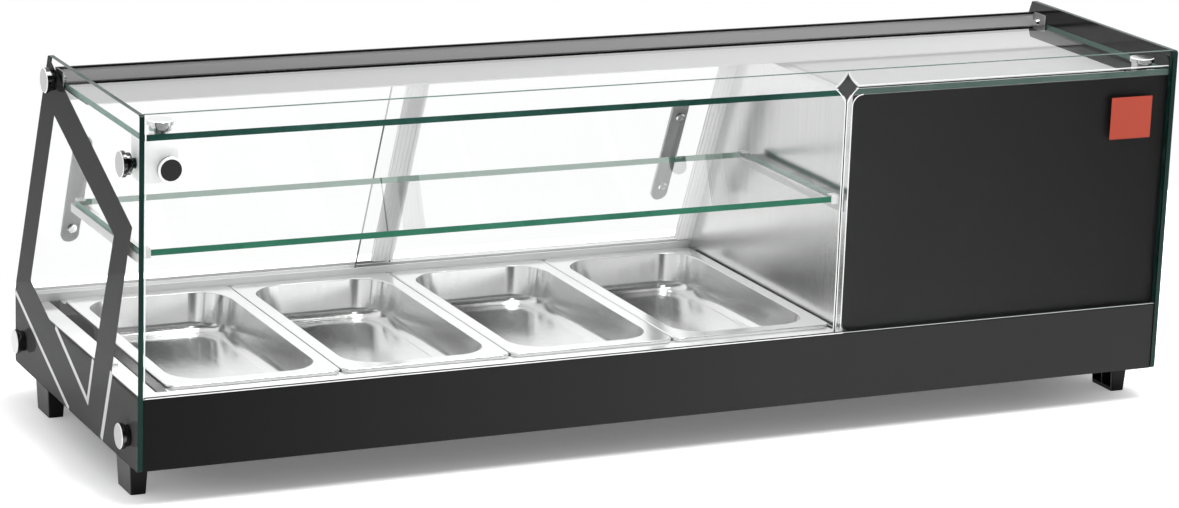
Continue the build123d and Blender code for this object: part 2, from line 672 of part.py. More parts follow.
front_plane = Plane(origin=(px(CORNER), py(SETBACK), pz(PUCK_LEVEL)), x_dir=(1, 0, 0),
                    z_dir=(0, -1, 0))
top_planes = [
    Plane(origin=(px(x), py(TOP_FIXING_Y), pz(TOP_FACE)), x_dir=(1, 0, 0), z_dir=(0, 0, 1))
    for x in (CORNER, LENGTH - CORNER)
]

with BuildPart() as side_pucks:
    for side in (-1, 1):
        for y, z in SIDE_FIXINGS:
            puck(side_plane(y, z, side))
save(side_pucks, "side_pucks")

with BuildPart() as front_puck:
    puck(front_plane)
save(front_puck, "front_puck")

with BuildPart() as top_pucks:
    for plane in top_planes:
        puck(plane)
save(top_pucks, "top_pucks")

GRIPS = (PLATE, 2.0, SHEET, SHEET)

with BuildPart() as puck_bolts:
    for side in (-1, 1):
        for (y, z), sheet in zip(SIDE_FIXINGS, GRIPS):
            bolt(side_plane(y, z, side), INSIDE_LEFT + sheet)
    bolt(front_plane, FRONT_GLASS + PLATE)
    for plane in top_planes:
        bolt(plane, TOP_GLASS + PLATE)
save(puck_bolts, "puck_bolts")

# Partition: stainless skins round the foam between chamber and compressor
PARTITION_BACK = 38.0


def partition_outline(grow):
    """Side view of the partition, with its edges moved out by grow."""
    return [
        (10.0 - grow, BASE_HEIGHT),
        (rear(PARTITION_BACK - grow, BASE_HEIGHT), BASE_HEIGHT),
        (rear(PARTITION_BACK - grow, HOUSING_TOP), HOUSING_TOP),
        (10.0 - grow, HOUSING_TOP),
    ]


with BuildPart() as partition:
    with BuildSketch(Plane.YZ.offset(px(PARTITION))):
        outline(partition_outline(1.0))
    extrude(amount=PARTITION_THICK)
    with BuildSketch(Plane.YZ.offset(px(PARTITION + SHEET))):
        outline([
            (10.0, BASE_HEIGHT - 1),
            (rear(PARTITION_BACK + 1, BASE_HEIGHT - 1), BASE_HEIGHT - 1),
            (rear(PARTITION_BACK + 1, HOUSING_TOP - SHEET), HOUSING_TOP - SHEET),
            (10.0, HOUSING_TOP - SHEET),
        ])
    extrude(amount=PARTITION_THICK - 2 * SHEET, mode=Mode.SUBTRACT)
save(partition, "partition")

# Housing: front panel, roof with end wall, louvred back panel
HOUSING_LEFT = PARTITION + PARTITION_THICK
FRONT_PANEL_LEFT = 747.0
PANEL_TOP = TOP_FACE - TOP_GLASS - 0.5
PANEL_CORNER_R = 12.0

with BuildPart() as housing_front:
    x_mid = (FRONT_PANEL_LEFT + INSIDE_RIGHT) / 2
    z_mid = (BASE_HEIGHT + PANEL_TOP) / 2
    sheet_plane = Plane(origin=(px(x_mid), py(PANEL_FRONT), pz(z_mid)), x_dir=(1, 0, 0),
                        z_dir=(0, -1, 0))
    with BuildSketch(sheet_plane) as sheet:
        Rectangle(INSIDE_RIGHT - FRONT_PANEL_LEFT, PANEL_TOP - BASE_HEIGHT)
        fillet(sheet.vertices().group_by(Axis.Z)[-1].sort_by(Axis.X)[0], radius=PANEL_CORNER_R)
    extrude(amount=-SHEET)
save(housing_front, "housing_front")

LOUVRE_ROWS = 9
LOUVRE_PITCH = 14.0
LOUVRE_HEIGHT = 5.0
LOUVRE_WIDTH = 62.0
LOUVRE_COLUMNS = 3
LOUVRE_LOW = 110.0
PANEL_OFFSET = 8.0
REAR_LOW = BASE_HEIGHT + 6.0
REAR_HIGH = RAIL_PLATE_TOP - SHEET - 4
SCREW_SPOTS = [
    (x, z)
    for x in (HOUSING_LEFT + 8, INSIDE_RIGHT - 8)
    for z in (REAR_LOW + 10, REAR_HIGH - 10)
]

with BuildPart() as housing_cover:
    roof_back = rear(PANEL_OFFSET + 12, HOUSING_TOP)
    slab(HOUSING_LEFT + 0.5, INSIDE_RIGHT, ARM + 1, roof_back, HOUSING_TOP, HOUSING_TOP + SHEET)
    slab(HOUSING_LEFT + 0.5, LENGTH - ARM - 1, 9, ARM + 2, HOUSING_TOP, HOUSING_TOP + SHEET)
    with BuildSketch(Plane.YZ.offset(px(INSIDE_RIGHT - SHEET))):
        outline([
            (ARM + 1, BASE_HEIGHT),
            (rear(PANEL_OFFSET + 2, BASE_HEIGHT), BASE_HEIGHT),
            (rear(PANEL_OFFSET + 2, HOUSING_TOP), HOUSING_TOP),
            (ARM + 1, HOUSING_TOP),
        ])
    extrude(amount=SHEET)
save(housing_cover, "housing_cover")

SWITCH_X = 800.0
SWITCH_Z = 262.0
CONTROL_X = 862.0
CONTROL_Z = 262.0
SWITCH_SIZE = (22.0, 30.0)
CONTROL_SIZE = (71.0, 29.0)

with BuildPart() as rear_panel:
    slanted(HOUSING_LEFT + 1, INSIDE_RIGHT - SHEET - 0.5, PANEL_OFFSET, SHEET, REAR_LOW, REAR_HIGH)
    for row in range(LOUVRE_ROWS):
        z0 = LOUVRE_LOW + row * LOUVRE_PITCH
        for column in range(LOUVRE_COLUMNS):
            x0 = 905.0 + column * (LOUVRE_WIDTH + 9)
            slab(x0, x0 + LOUVRE_WIDTH, rear(60, z0), DEPTH + 5, z0, z0 + LOUVRE_HEIGHT,
                 mode=Mode.SUBTRACT)
    for x, z, size in ((SWITCH_X, SWITCH_Z, SWITCH_SIZE), (CONTROL_X, CONTROL_Z, CONTROL_SIZE)):
        with BuildSketch(door_plane(x, PANEL_OFFSET, z).offset(-3)):
            Rectangle(*size)
        extrude(amount=10, mode=Mode.SUBTRACT)
    for x, z in SCREW_SPOTS:
        with BuildSketch(door_plane(x, PANEL_OFFSET, z).offset(-3)):
            Circle(2.2)
        extrude(amount=10, mode=Mode.SUBTRACT)
save(rear_panel, "rear_panel")

with BuildPart() as rear_panel_screws:
    for x, z in SCREW_SPOTS:
        face = door_plane(x, PANEL_OFFSET, z)
        with BuildSketch(face):
            Circle(4.0)
        extrude(amount=-2.0)
        with BuildSketch(face):
            Circle(2.0)
        extrude(amount=9)
save(rear_panel_screws, "rear_panel_screws")

# Rocker switch and temperature control on the back panel
BEZEL = 2.0

with BuildPart() as power_switch:
    face = door_plane(SWITCH_X, PANEL_OFFSET, SWITCH_Z)
    with BuildSketch(face):
        Rectangle(SWITCH_SIZE[0] + 4, SWITCH_SIZE[1] + 4)
    extrude(amount=-BEZEL)
    with BuildSketch(face):
        Rectangle(SWITCH_SIZE[0] - 0.4, SWITCH_SIZE[1] - 0.4)
    extrude(amount=16)
    with BuildSketch(face.offset(-BEZEL)):
        Rectangle(SWITCH_SIZE[0] - 4, SWITCH_SIZE[1] - 4)
    extrude(amount=10, mode=Mode.SUBTRACT)
save(power_switch, "power_switch")

ROCKER_AXIS_DEPTH = 3.0
ROCKER_TILT = 8.0

with BuildPart() as power_rocker:
    face = door_plane(SWITCH_X, PANEL_OFFSET, SWITCH_Z)
    with BuildSketch(face.offset(ROCKER_AXIS_DEPTH)):
        Rectangle(SWITCH_SIZE[0] - 6, SWITCH_SIZE[1] - 7)
    extrude(amount=-(ROCKER_AXIS_DEPTH + BEZEL + 1.5), taper=6)
    with BuildSketch(face.offset(ROCKER_AXIS_DEPTH)):
        Rectangle(SWITCH_SIZE[0] - 8, 5)
    extrude(amount=2.5)
save(power_rocker, "power_rocker")

CONTROL_WALL = 2.0
BUTTON_SIZE = (8.0, 6.0)
BUTTON_X = (-27.0, 27.0)
BUTTON_PROUD = 1.5

with BuildPart() as temperature_control:
    face = door_plane(CONTROL_X, PANEL_OFFSET, CONTROL_Z)
    with BuildSketch(face):
        RectangleRounded(CONTROL_SIZE[0] + 7, CONTROL_SIZE[1] + 6, 2)
    extrude(amount=-3.0)
    with BuildSketch(face):
        Rectangle(CONTROL_SIZE[0] - 0.6, CONTROL_SIZE[1] - 0.6)
    extrude(amount=40)
    with BuildSketch(face.offset(-3.0)):
        with Locations(*[(x, -6.0) for x in BUTTON_X]):
            RectangleRounded(BUTTON_SIZE[0] + 0.7, BUTTON_SIZE[1] + 0.7, 1.5)
    extrude(amount=6, mode=Mode.SUBTRACT)
    with BuildSketch(face.offset(-3.0)):
        Rectangle(36, 17)
    extrude(amount=0.8, mode=Mode.SUBTRACT)
save(temperature_control, "temperature_control")

for name, x in zip(("button_up", "button_down"), BUTTON_X):
    with BuildPart() as button:
        face = door_plane(CONTROL_X, PANEL_OFFSET, CONTROL_Z)
        with BuildSketch(face.offset(1.0)):
            with Locations((x, -6.0)):
                RectangleRounded(*BUTTON_SIZE, 1.2)
        extrude(amount=-(1.0 + 3.0 + BUTTON_PROUD))
    save(button, name)

# Refrigeration: hermetic compressor on grommets, condenser, fan and pipework
COMPRESSOR_X = 850.0
COMPRESSOR_Y = 130.0
COMPRESSOR_R = 58.0
COMPRESSOR_BASE = 88.0
COMPRESSOR_H = 120.0
FOOT_SPREAD = 50.0

with BuildPart() as compressor:
    with BuildSketch(Plane.XY.offset(pz(COMPRESSOR_BASE))):
        with Locations((px(COMPRESSOR_X), py(COMPRESSOR_Y))):
            Ellipse(COMPRESSOR_R, COMPRESSOR_R * 0.85)
    extrude(amount=COMPRESSOR_H)
    fillet(compressor.faces().sort_by(Axis.Z)[-1].edges(), radius=24)
    fillet(compressor.faces().sort_by(Axis.Z)[0].edges(), radius=12)
    slab(COMPRESSOR_X - COMPRESSOR_R - 3, COMPRESSOR_X + COMPRESSOR_R + 3,
         COMPRESSOR_Y - COMPRESSOR_R - 3, COMPRESSOR_Y + COMPRESSOR_R + 3,
         COMPRESSOR_BASE - 4, COMPRESSOR_BASE)
    slab(COMPRESSOR_X - 30, COMPRESSOR_X + 30, COMPRESSOR_Y - 30, COMPRESSOR_Y + 30,
         COMPRESSOR_BASE - 1, COMPRESSOR_BASE + 20)
    slab(COMPRESSOR_X + COMPRESSOR_R - 8, COMPRESSOR_X + COMPRESSOR_R + 12,
         COMPRESSOR_Y - 25, COMPRESSOR_Y + 25, COMPRESSOR_BASE + 35, COMPRESSOR_BASE + 80)
    for dx in (-FOOT_SPREAD, FOOT_SPREAD):
        for dy in (-FOOT_SPREAD, FOOT_SPREAD):
            rod(COMPRESSOR_X + dx, COMPRESSOR_Y + dy, COMPRESSOR_BASE - 8, 6, 12, axis=Axis.Z,
                mode=Mode.SUBTRACT)
save(compressor, "compressor")

with BuildPart() as compressor_grommets:
    for dx in (-FOOT_SPREAD, FOOT_SPREAD):
        for dy in (-FOOT_SPREAD, FOOT_SPREAD):
            x, y = COMPRESSOR_X + dx, COMPRESSOR_Y + dy
            rod(x, y, BASE_HEIGHT, 10, COMPRESSOR_BASE - 4 - BASE_HEIGHT, axis=Axis.Z)
            rod(x, y, COMPRESSOR_BASE - 4, 5.9, 4, axis=Axis.Z)
            rod(x, y, COMPRESSOR_BASE, 8, 3, axis=Axis.Z)
save(compressor_grommets, "compressor_grommets")

CONDENSER = (960.0, 1100.0, 96.0, 132.0, 84.0, 224.0)
FIN_STEP = 7.0
TUBE_R = 3.5
FAN_X = (CONDENSER[0] + CONDENSER[1]) / 2
FAN_Z = (CONDENSER[4] + CONDENSER[5]) / 2
FAN_R = 56.0

with BuildPart() as condenser:
    x0, x1, y0, y1, z0, z1 = CONDENSER
    slab(x0, x0 + 1.5, y0, y1, BASE_HEIGHT, z1)
    slab(x1 - 1.5, x1, y0, y1, BASE_HEIGHT, z1)
    fins = int((x1 - x0 - 10) / FIN_STEP)
    for number in range(fins + 1):
        x_fin = x0 + 5 + number * FIN_STEP
        slab(x_fin, x_fin + 0.8, y0 + 2, y1 - 2, z0, z1 - 2)
    for row in range(5):
        for y in (y0 + 10, y1 - 10):
            rod(x0 - 4, y, z0 + 14 + row * 26, TUBE_R, x1 - x0 + 8)
save(condenser, "condenser")

SHROUD_DEPTH = 26.0


def fan_axes(angle):
    """Radial and tangential directions of a fan blade or arm, round the Y axis."""
    turn = radians(angle)
    return Vector(cos(turn), 0, sin(turn)), Vector(-sin(turn), 0, cos(turn))


with BuildPart() as fan_shroud:
    x0, x1, y0, y1, z0, z1 = CONDENSER
    slab(x0, x1, y1, y1 + SHROUD_DEPTH, BASE_HEIGHT, z1)
    slab(x0 + 1.5, x1 - 1.5, y1 - 1, y1 + SHROUD_DEPTH - 1.5, z0, z1 - 2, mode=Mode.SUBTRACT)
    rod(FAN_X, y1, FAN_Z, FAN_R + 4, SHROUD_DEPTH + 5, axis=Axis.Y, mode=Mode.SUBTRACT)
    for angle in (45, 135, 225, 315):
        radial, around = fan_axes(angle)
        hub = Vector(px(FAN_X), py(y1 + SHROUD_DEPTH), pz(FAN_Z))
        with BuildSketch(Plane(origin=hub, x_dir=radial, z_dir=(0, 1, 0))):
            with Locations((43, 0)):
                Rectangle(50, 8)
        extrude(amount=2.0)
save(fan_shroud, "fan_shroud")

MOTOR_R = 22.0
SHAFT_R = 3.0

with BuildPart() as fan_motor:
    y_back = CONDENSER[3] + SHROUD_DEPTH + 2
    rod(FAN_X, y_back, FAN_Z, MOTOR_R, 34, axis=Axis.Y)
    fillet(fan_motor.faces().sort_by(Axis.Y)[-1].edges(), radius=5)
    rod(FAN_X, y_back - 22, FAN_Z, SHAFT_R, 22, axis=Axis.Y)
save(fan_motor, "fan_motor")

BLADES = 5
HUB_R = 17.0
BLADE_PITCH = 28.0

with BuildPart() as fan_rotor:
    y_hub = CONDENSER[3] + 7
    hub_plane = Plane(origin=(px(FAN_X), py(y_hub), pz(FAN_Z)), x_dir=(1, 0, 0), z_dir=(0, 1, 0))
    with BuildSketch(hub_plane):
        Circle(HUB_R)
    extrude(amount=14)
    for blade in range(BLADES):
        radial, around = fan_axes(blade * 360 / BLADES)
        chord = around * cos(radians(BLADE_PITCH)) + Vector(0, 1, 0) * sin(radians(BLADE_PITCH))
        root = hub_plane.offset(7).origin + radial * (HUB_R - 2)
        blade_plane = Plane(origin=root, x_dir=chord, z_dir=radial)
        with BuildSketch(blade_plane):
            Rectangle(20, 1.6)
        with BuildSketch(blade_plane.offset(FAN_R - HUB_R)):
            Rectangle(24, 1.2)
        loft()
    rod(FAN_X, y_hub - 1, FAN_Z, SHAFT_R + 0.05, 17, axis=Axis.Y, mode=Mode.SUBTRACT)
save(fan_rotor, "fan_rotor")

SUCTION_Z = COMPRESSOR_BASE + 60
DISCHARGE_X = 932.0
DISCHARGE_Z = COMPRESSOR_BASE + COMPRESSOR_H - 32
TUBE_X = CONDENSER[0] - 4
TUBE_Y = CONDENSER[2] + 10
TUBE_Z = (CONDENSER[4] + 14, CONDENSER[4] + 14 + 4 * 26)
PIPE_ROUTES = {
    "suction": [
        (coil_ends[0], COIL_BACK, COIL_Z),
        (PIPE_X, COIL_BACK, COIL_Z),
        (PIPE_X, COIL_BACK, SUCTION_Z),
        (PIPE_X, COMPRESSOR_Y, SUCTION_Z),
        (COMPRESSOR_X - COMPRESSOR_R, COMPRESSOR_Y, SUCTION_Z),
    ],
    "discharge": [
        (COMPRESSOR_X + COMPRESSOR_R, COMPRESSOR_Y, DISCHARGE_Z),
        (DISCHARGE_X, COMPRESSOR_Y, DISCHARGE_Z),
        (DISCHARGE_X, COMPRESSOR_Y, TUBE_Z[1]),
        (DISCHARGE_X, TUBE_Y, TUBE_Z[1]),
        (TUBE_X, TUBE_Y, TUBE_Z[1]),
    ],
    "liquid": [
        (coil_ends[0], COIL_FRONT, COIL_Z),
        (PIPE_X, COIL_FRONT, COIL_Z),
        (PIPE_X, COIL_FRONT, TUBE_Z[0]),
        (DISCHARGE_X, COIL_FRONT, TUBE_Z[0]),
        (DISCHARGE_X, TUBE_Y, TUBE_Z[0]),
        (TUBE_X, TUBE_Y, TUBE_Z[0]),
    ],
}

with BuildPart() as refrigerant_pipes:
    for route in PIPE_ROUTES.values():
        points = [(px(x), py(y), pz(z)) for x, y, z in route]
        with BuildLine() as line:
            FilletPolyline(*points, radius=8)
        with BuildSketch(Plane(origin=points[0], z_dir=(1, 0, 0))) as disc:
            Circle(PIPE_R)
        sweep(disc.sketch, path=line.wires()[0])
save(refrigerant_pipes, "refrigerant_pipes")

with BuildPart() as cord_gland:
    rod(GLAND_X, TRAY_BACK - 8, GLAND_Z, GLAND_R - 0.5, 8, axis=Axis.Y)
    rod(GLAND_X, TRAY_BACK, GLAND_Z, GLAND_R + 3, 2.8, axis=Axis.Y)
    rod(GLAND_X, TRAY_BACK - 8 - 3, GLAND_Z, GLAND_R + 3, 3 + 8 - SHEET - 0.3, axis=Axis.Y)
    rod(GLAND_X, TRAY_BACK - 15, GLAND_Z, 4, 25, axis=Axis.Y, mode=Mode.SUBTRACT)
save(cord_gland, "cord_gland")

BADGE = (1049.0, 1098.0, 252.0, 296.0)

with BuildPart() as badge:
    x0, x1, z0, z1 = BADGE
    slab(x0, x1, SETBACK - 0.6, SETBACK, z0, z1)
save(badge, "badge")
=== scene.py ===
"""Looks of a refrigerated tapas display case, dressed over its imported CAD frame."""

import math

import bmesh
import bpy
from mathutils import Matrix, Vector, geometry


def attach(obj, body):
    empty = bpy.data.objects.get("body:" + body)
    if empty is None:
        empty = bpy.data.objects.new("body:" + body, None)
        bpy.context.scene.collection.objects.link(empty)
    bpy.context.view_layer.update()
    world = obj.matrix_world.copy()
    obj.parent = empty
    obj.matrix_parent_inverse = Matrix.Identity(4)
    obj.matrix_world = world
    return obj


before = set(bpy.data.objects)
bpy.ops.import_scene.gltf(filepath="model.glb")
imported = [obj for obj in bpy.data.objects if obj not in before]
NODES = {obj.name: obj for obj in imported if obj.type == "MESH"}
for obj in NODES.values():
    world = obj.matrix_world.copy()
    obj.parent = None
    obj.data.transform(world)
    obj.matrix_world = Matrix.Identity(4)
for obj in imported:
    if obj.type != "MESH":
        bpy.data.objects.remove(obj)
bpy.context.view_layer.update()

# Distances in millimetres: x from the left glass, y from the front of the glass, z above the base
LEFT_X = -562.5
FRONT_Y = -192.75
LEG = 36.0
MM = 0.001

# The side glass: its depth below the slope of the back, its depth at the top, and its height
BODY_DEEP = 394.0
TOP_DEEP = 281.0
BODY_HIGH = 342.0
SLOPE_LOW = 76.0
LEAN = math.atan((BODY_DEEP - TOP_DEEP) / (BODY_HIGH - SLOPE_LOW))
DOOR_AXIS = (0.0, math.cos(LEAN), math.sin(LEAN))

# Places in metres in the row frame: where the housing begins, the left end of the pans and their
# pitch, and the front, the back and the top of the stretch in which painted shade darkens their
# floors
HOUSING_START = 0.1771
PAN_START = -0.524
PAN_PITCH = 0.1775
PAN_FRONT = -0.10
PAN_BACK = 0.11
PAN_LOW = 0.085


def at(x, y, z):
    """A point of the case, in metres in the row frame."""
    return Vector(((x + LEFT_X) * MM, (y + FRONT_Y) * MM, (z + LEG) * MM))


# Materials

# Sockets of a mix node that works on colours
COLOUR_A = 6
COLOUR_B = 7
COLOUR_OUT = 2

# How far a surface has to face along an axis to count as flat, as a bevel or as upright, and how
# far it has to face along a pane's axis so as not to count as an edge
FLAT_LIMIT = 0.95
BEVEL_LIMIT = 0.5
EDGE_LIMIT = 0.8
UPRIGHT_LIMIT = 0.7

WHITE = (1, 1, 1, 1)
GLASS_TINT = (0.998, 1.0, 0.999, 1)


def grey(value):
    return (value, value, value)


class Tree:
    """A short way to write the nodes of a material or of the world."""

    def __init__(self, owner, output="ShaderNodeOutputMaterial"):
        owner.use_nodes = True
        self.owner = owner
        self.nodes = owner.node_tree.nodes
        self.links = owner.node_tree.links
        self.nodes.clear()
        self.output = self.nodes.new(output)

    def feed(self, socket, value):
        """Links a socket to another one, or sets it to a value."""
        if isinstance(value, bpy.types.NodeSocket):
            self.links.new(value, socket)
        else:
            socket.default_value = value

    def add(self, kind, inputs=None, **settings):
        """A new node with its settings made and its inputs fed."""
        node = self.nodes.new(kind)
        for key, value in settings.items():
            setattr(node, key, value)
        for key, value in (inputs or {}).items():
            self.feed(node.inputs[key], value)
        return node

    def finish(self, shader):
        """Links the last shader to the output and gives back the material or the world."""
        self.links.new(shader, self.output.inputs["Surface"])
        return self.owner

    def place(self, scale=(1, 1, 1)):
        """Object coordinates, stretched."""
        coords = self.add("ShaderNodeTexCoord")
        return self.add("ShaderNodeMapping", {
            "Vector": coords.outputs["Object"], "Scale": scale}).outputs[0]

    def split(self):
        """The x, y and z of the object coordinates, as sockets by name."""
        return self.add("ShaderNodeSeparateXYZ", {0: self.place()}).outputs

    def noise(self, vector, scale, detail=3.0, rough=0.5):
        return self.add("ShaderNodeTexNoise", {
            "Vector": vector, "Scale": scale, "Detail": detail, "Roughness": rough}).outputs["Fac"]

    def spread(self, value, low, high, from_low=0.3, from_high=0.7, smooth=False):
        """Low up to one value, high from another one, and a straight or smooth way between."""
        kind = "SMOOTHSTEP" if smooth else "LINEAR"
        return self.add("ShaderNodeMapRange", {
            "Value": value, "From Min": from_low, "From Max": from_high,
            "To Min": low, "To Max": high}, interpolation_type=kind).outputs[0]

    def calc(self, operation, first, second=0.0, third=0.0):
        """One step of arithmetic on sockets or numbers."""
        return self.add("ShaderNodeMath", {0: first, 1: second, 2: third},
                        operation=operation).outputs[0]

    def vector(self, operation, first, second=(0, 0, 0)):
        """One step of arithmetic on vectors."""
        return self.add("ShaderNodeVectorMath", {0: first, 1: second},
                        operation=operation).outputs

    def blend(self, factor, dark, light, mode="MIX"):
        """The dark colour where the factor is 0, the light one where it is 1."""
        node = self.add("ShaderNodeMix", {"Factor": factor}, data_type="RGBA", blend_type=mode)
        for index, colour in ((COLOUR_A, dark), (COLOUR_B, light)):
            plain = not isinstance(colour, bpy.types.NodeSocket)
            self.feed(node.inputs[index], (*colour, 1) if plain else colour)
        return node.outputs[COLOUR_OUT]

    def mix(self, factor, first, second):
        """One shader where the factor is 0, the other where it is 1."""
        return self.add("ShaderNodeMixShader", {0: factor, 1: first, 2: second}).outputs[0]

    def along(self, axis):
        """How far the surface faces along an axis, either way, from 0 to 1."""
        normal = self.add("ShaderNodeNewGeometry").outputs["True Normal"]
        return self.calc("ABSOLUTE", self.vector("DOT_PRODUCT", normal, axis)["Value"])

    def bump(self, height, strength, distance):
        return self.add("ShaderNodeBump", {
            "Height": height, "Strength": strength, "Distance": distance}).outputs[0]


def metal(name, dark, light, rough, grain, strength, metallic=1.0):
    """Brushed or satin metal: a grain stretched one way drives colour, roughness and bump."""
    tree = Tree(bpy.data.materials.new(name))
    lines = tree.noise(tree.place(grain), 1.0, 4.0, 0.6)
    cloud = tree.noise(tree.place(), 9.0)
    both = tree.calc("MULTIPLY_ADD", lines, cloud, 0.25)
    shader = tree.add("ShaderNodeBsdfPrincipled", {
        "Base Color": tree.blend(tree.spread(lines, 0, 1), dark, light), "Metallic": metallic,
        "Roughness": tree.spread(both, *rough, 0.35, 0.65),
        "Normal": tree.bump(lines, strength, 0.0003)})
    return tree.finish(shader.outputs[0])


def coat(name, dark, light, rough, pebble=3200.0, strength=0.05, specular=0.5):
    """Powder coat, paint or moulded plastic: a fine pebble and a slow change of tone."""
    tree = Tree(bpy.data.materials.new(name))
    fine = tree.noise(tree.place(), pebble, 2.0)
    slow = tree.noise(tree.place(), 6.0)
    shader = tree.add("ShaderNodeBsdfPrincipled", {
        "Base Color": tree.blend(tree.spread(slow, 0, 1), dark, light),
        "Roughness": tree.spread(slow, *rough),
        "Specular IOR Level": specular,
        "Normal": tree.bump(fine, strength, 0.0001)})
    return tree.finish(shader.outputs[0])


def graded(name, axis, start, end, first, last, rough, specular):
    """A coat with painted shading: its tone changes slowly along one axis, between two places in
    metres.
    """
    tree = Tree(bpy.data.materials.new(name))
    # The run along the axis is painted shading
    run = tree.spread(tree.split()[axis], 0, 1, start, end)
    slow = tree.noise(tree.place(), 7.0)
    wave = tree.noise(tree.place(), 45.0, 2.0)
    tone = tree.calc("MULTIPLY_ADD", slow, 0.15, run)
    shader = tree.add("ShaderNodeBsdfPrincipled", {
        "Base Color": tree.blend(tone, first, last),
        "Roughness": tree.spread(slow, *rough),
        "Specular IOR Level": specular,
        "Normal": tree.bump(wave, 0.02, 0.0002)})
    return tree.finish(shader.outputs[0])


def pane(name, axis, mirror, power, level, edge_front, edge_side, edge_back=None, edge_end=None):
    """Float glass: clear faces that mirror more at a slant, and tinted edges.

    axis is the direction across the pane. The faces mirror level plus mirror times the slant to
    the given power, once for both surfaces. Each edge colour is a dark and a light one; the green
    is the glass's own, and the darker or lighter tone each edge gets by where it lies is painted
    shade and light. The back edge is the one behind the middle of the case, and the end of an edge
    is over the housing.
    """
    tree = Tree(bpy.data.materials.new(name))
    facing = tree.add("ShaderNodeLayerWeight", {"Blend": 0.5}).outputs["Facing"]
    gloss = tree.calc("MULTIPLY_ADD", tree.calc("POWER", facing, power), mirror, level)
    leaving = tree.add("ShaderNodeNewGeometry").outputs["Backfacing"]
    entering = tree.calc("SUBTRACT", 1.0, leaving)
    smear = tree.noise(tree.place(), 5.0, 2.0)
    clear = tree.add("ShaderNodeBsdfTransparent", {"Color": GLASS_TINT})
    shine = tree.add("ShaderNodeBsdfGlossy", {
        "Color": WHITE, "Roughness": tree.spread(smear, 0.0, 0.012)})
    face = tree.mix(tree.calc("MULTIPLY", gloss, entering), clear.outputs[0], shine.outputs[0])
    streak = tree.spread(tree.noise(tree.place(), 14.0, 2.0), 0, 1)
    front, side, back, end = (
        tree.blend(streak, *tones)
        for tones in (edge_front, edge_side, edge_back or edge_front, edge_end or edge_front))
    sideways = tree.calc("GREATER_THAN", tree.along((1, 0, 0)), EDGE_LIMIT)
    # Painted shade and light: the back edge and the end over the housing take tones of their own
    behind = tree.calc("GREATER_THAN", tree.split()["Y"], 0.0)
    beyond = tree.calc("GREATER_THAN", tree.split()["X"], HOUSING_START)
    lengthwise = tree.blend(behind, tree.blend(beyond, front, end), back)
    rim = tree.add("ShaderNodeBsdfPrincipled", {
        "Base Color": tree.blend(sideways, lengthwise, side),
        "Roughness": tree.spread(streak, 0.2, 0.34), "Specular IOR Level": 0.12})
    is_edge = tree.calc("LESS_THAN", tree.along(axis), EDGE_LIMIT)
    return tree.finish(tree.mix(is_edge, face, rim.outputs[0]))


def dark_pane(name, edge):
    """A side glass printed black behind a clear gloss, with tinted edges."""
    tree = Tree(bpy.data.materials.new(name))
    speck = tree.noise(tree.place(), 700.0, 2.0)
    slow = tree.noise(tree.place(), 5.0, 2.0)
    face = tree.add("ShaderNodeBsdfPrincipled", {
        "Base Color": tree.blend(tree.spread(speck, 0, 1), grey(0.010), grey(0.016)),
        "Roughness": tree.spread(slow, 0.06, 0.12), "Specular IOR Level": 0.4})
    rim = tree.add("ShaderNodeBsdfPrincipled", {
        "Base Color": tree.blend(tree.spread(slow, 0, 1), *edge),
        "Roughness": tree.spread(slow, 0.2, 0.32), "Specular IOR Level": 0.2})
    is_edge = tree.calc("LESS_THAN", tree.along((1, 0, 0)), EDGE_LIMIT)
    return tree.finish(tree.mix(is_edge, face.outputs[0], rim.outputs[0]))


def turned_metal(name, axis, face, bevel, wall, middle=None, inner=None):
    """A turned disc: its flat face, bevelled rim and wall are given set tones as painted
    reflections, the bright rim a painted highlight, with fine lathe marks.

    Where a middle is given, the face takes the bevel's tone beyond the inner radius from it.
    """
    tree = Tree(bpy.data.materials.new(name))
    toward = tree.along(axis)
    flat = tree.calc("GREATER_THAN", toward, FLAT_LIMIT)
    if middle:
        outward = tree.vector("SUBTRACT", tree.place(), middle)[0]
        planar = tree.vector("MULTIPLY", outward, tuple(1 - part for part in axis))[0]
        radius = tree.vector("LENGTH", planar)["Value"]
        flat = tree.calc("MULTIPLY", flat, tree.calc("LESS_THAN", radius, inner))
    slope = tree.calc("GREATER_THAN", toward, BEVEL_LIMIT)
    bevelled = tree.calc("SUBTRACT", slope, flat)
    marks = tree.noise(tree.place((700, 700, 700)), 1.0)
    # Painted reflections: face, rim and wall take set tones; the rim, made less metallic, is a
    # painted highlight
    tone = tree.blend(flat, tree.blend(slope, wall, bevel), face)
    shine = tree.blend(marks, grey(0.9), grey(1.0))
    shader = tree.add("ShaderNodeBsdfPrincipled", {
        "Base Color": tree.blend(1.0, tone, shine, mode="MULTIPLY"),
        "Metallic": tree.calc("MULTIPLY_ADD", bevelled, -0.8, 1.0),
        "Roughness": tree.spread(marks, 0.10, 0.18),
        "Normal": tree.bump(marks, 0.02, 0.0002)})
    return tree.finish(shader.outputs[0])


def milky_plastic(name, dark, light, through):
    """Clouded plastic: light partly soaks through where it enters, and it leaves freely."""
    tree = Tree(bpy.data.materials.new(name))
    slow = tree.noise(tree.place(), 9.0)
    leaving = tree.add("ShaderNodeNewGeometry").outputs["Backfacing"]
    body = tree.add("ShaderNodeBsdfPrincipled", {
        "Base Color": tree.blend(tree.spread(slow, 0, 1), dark, light),
        "Roughness": tree.spread(slow, 0.25, 0.35), "Specular IOR Level": 0.3})
    glow = tree.add("ShaderNodeBsdfTranslucent", {"Color": (*light, 1)})
    clear = tree.add("ShaderNodeBsdfTransparent", {"Color": WHITE})
    entry = tree.mix(through, body.outputs[0], glow.outputs[0])
    return tree.finish(tree.mix(leaving, entry, clear.outputs[0]))


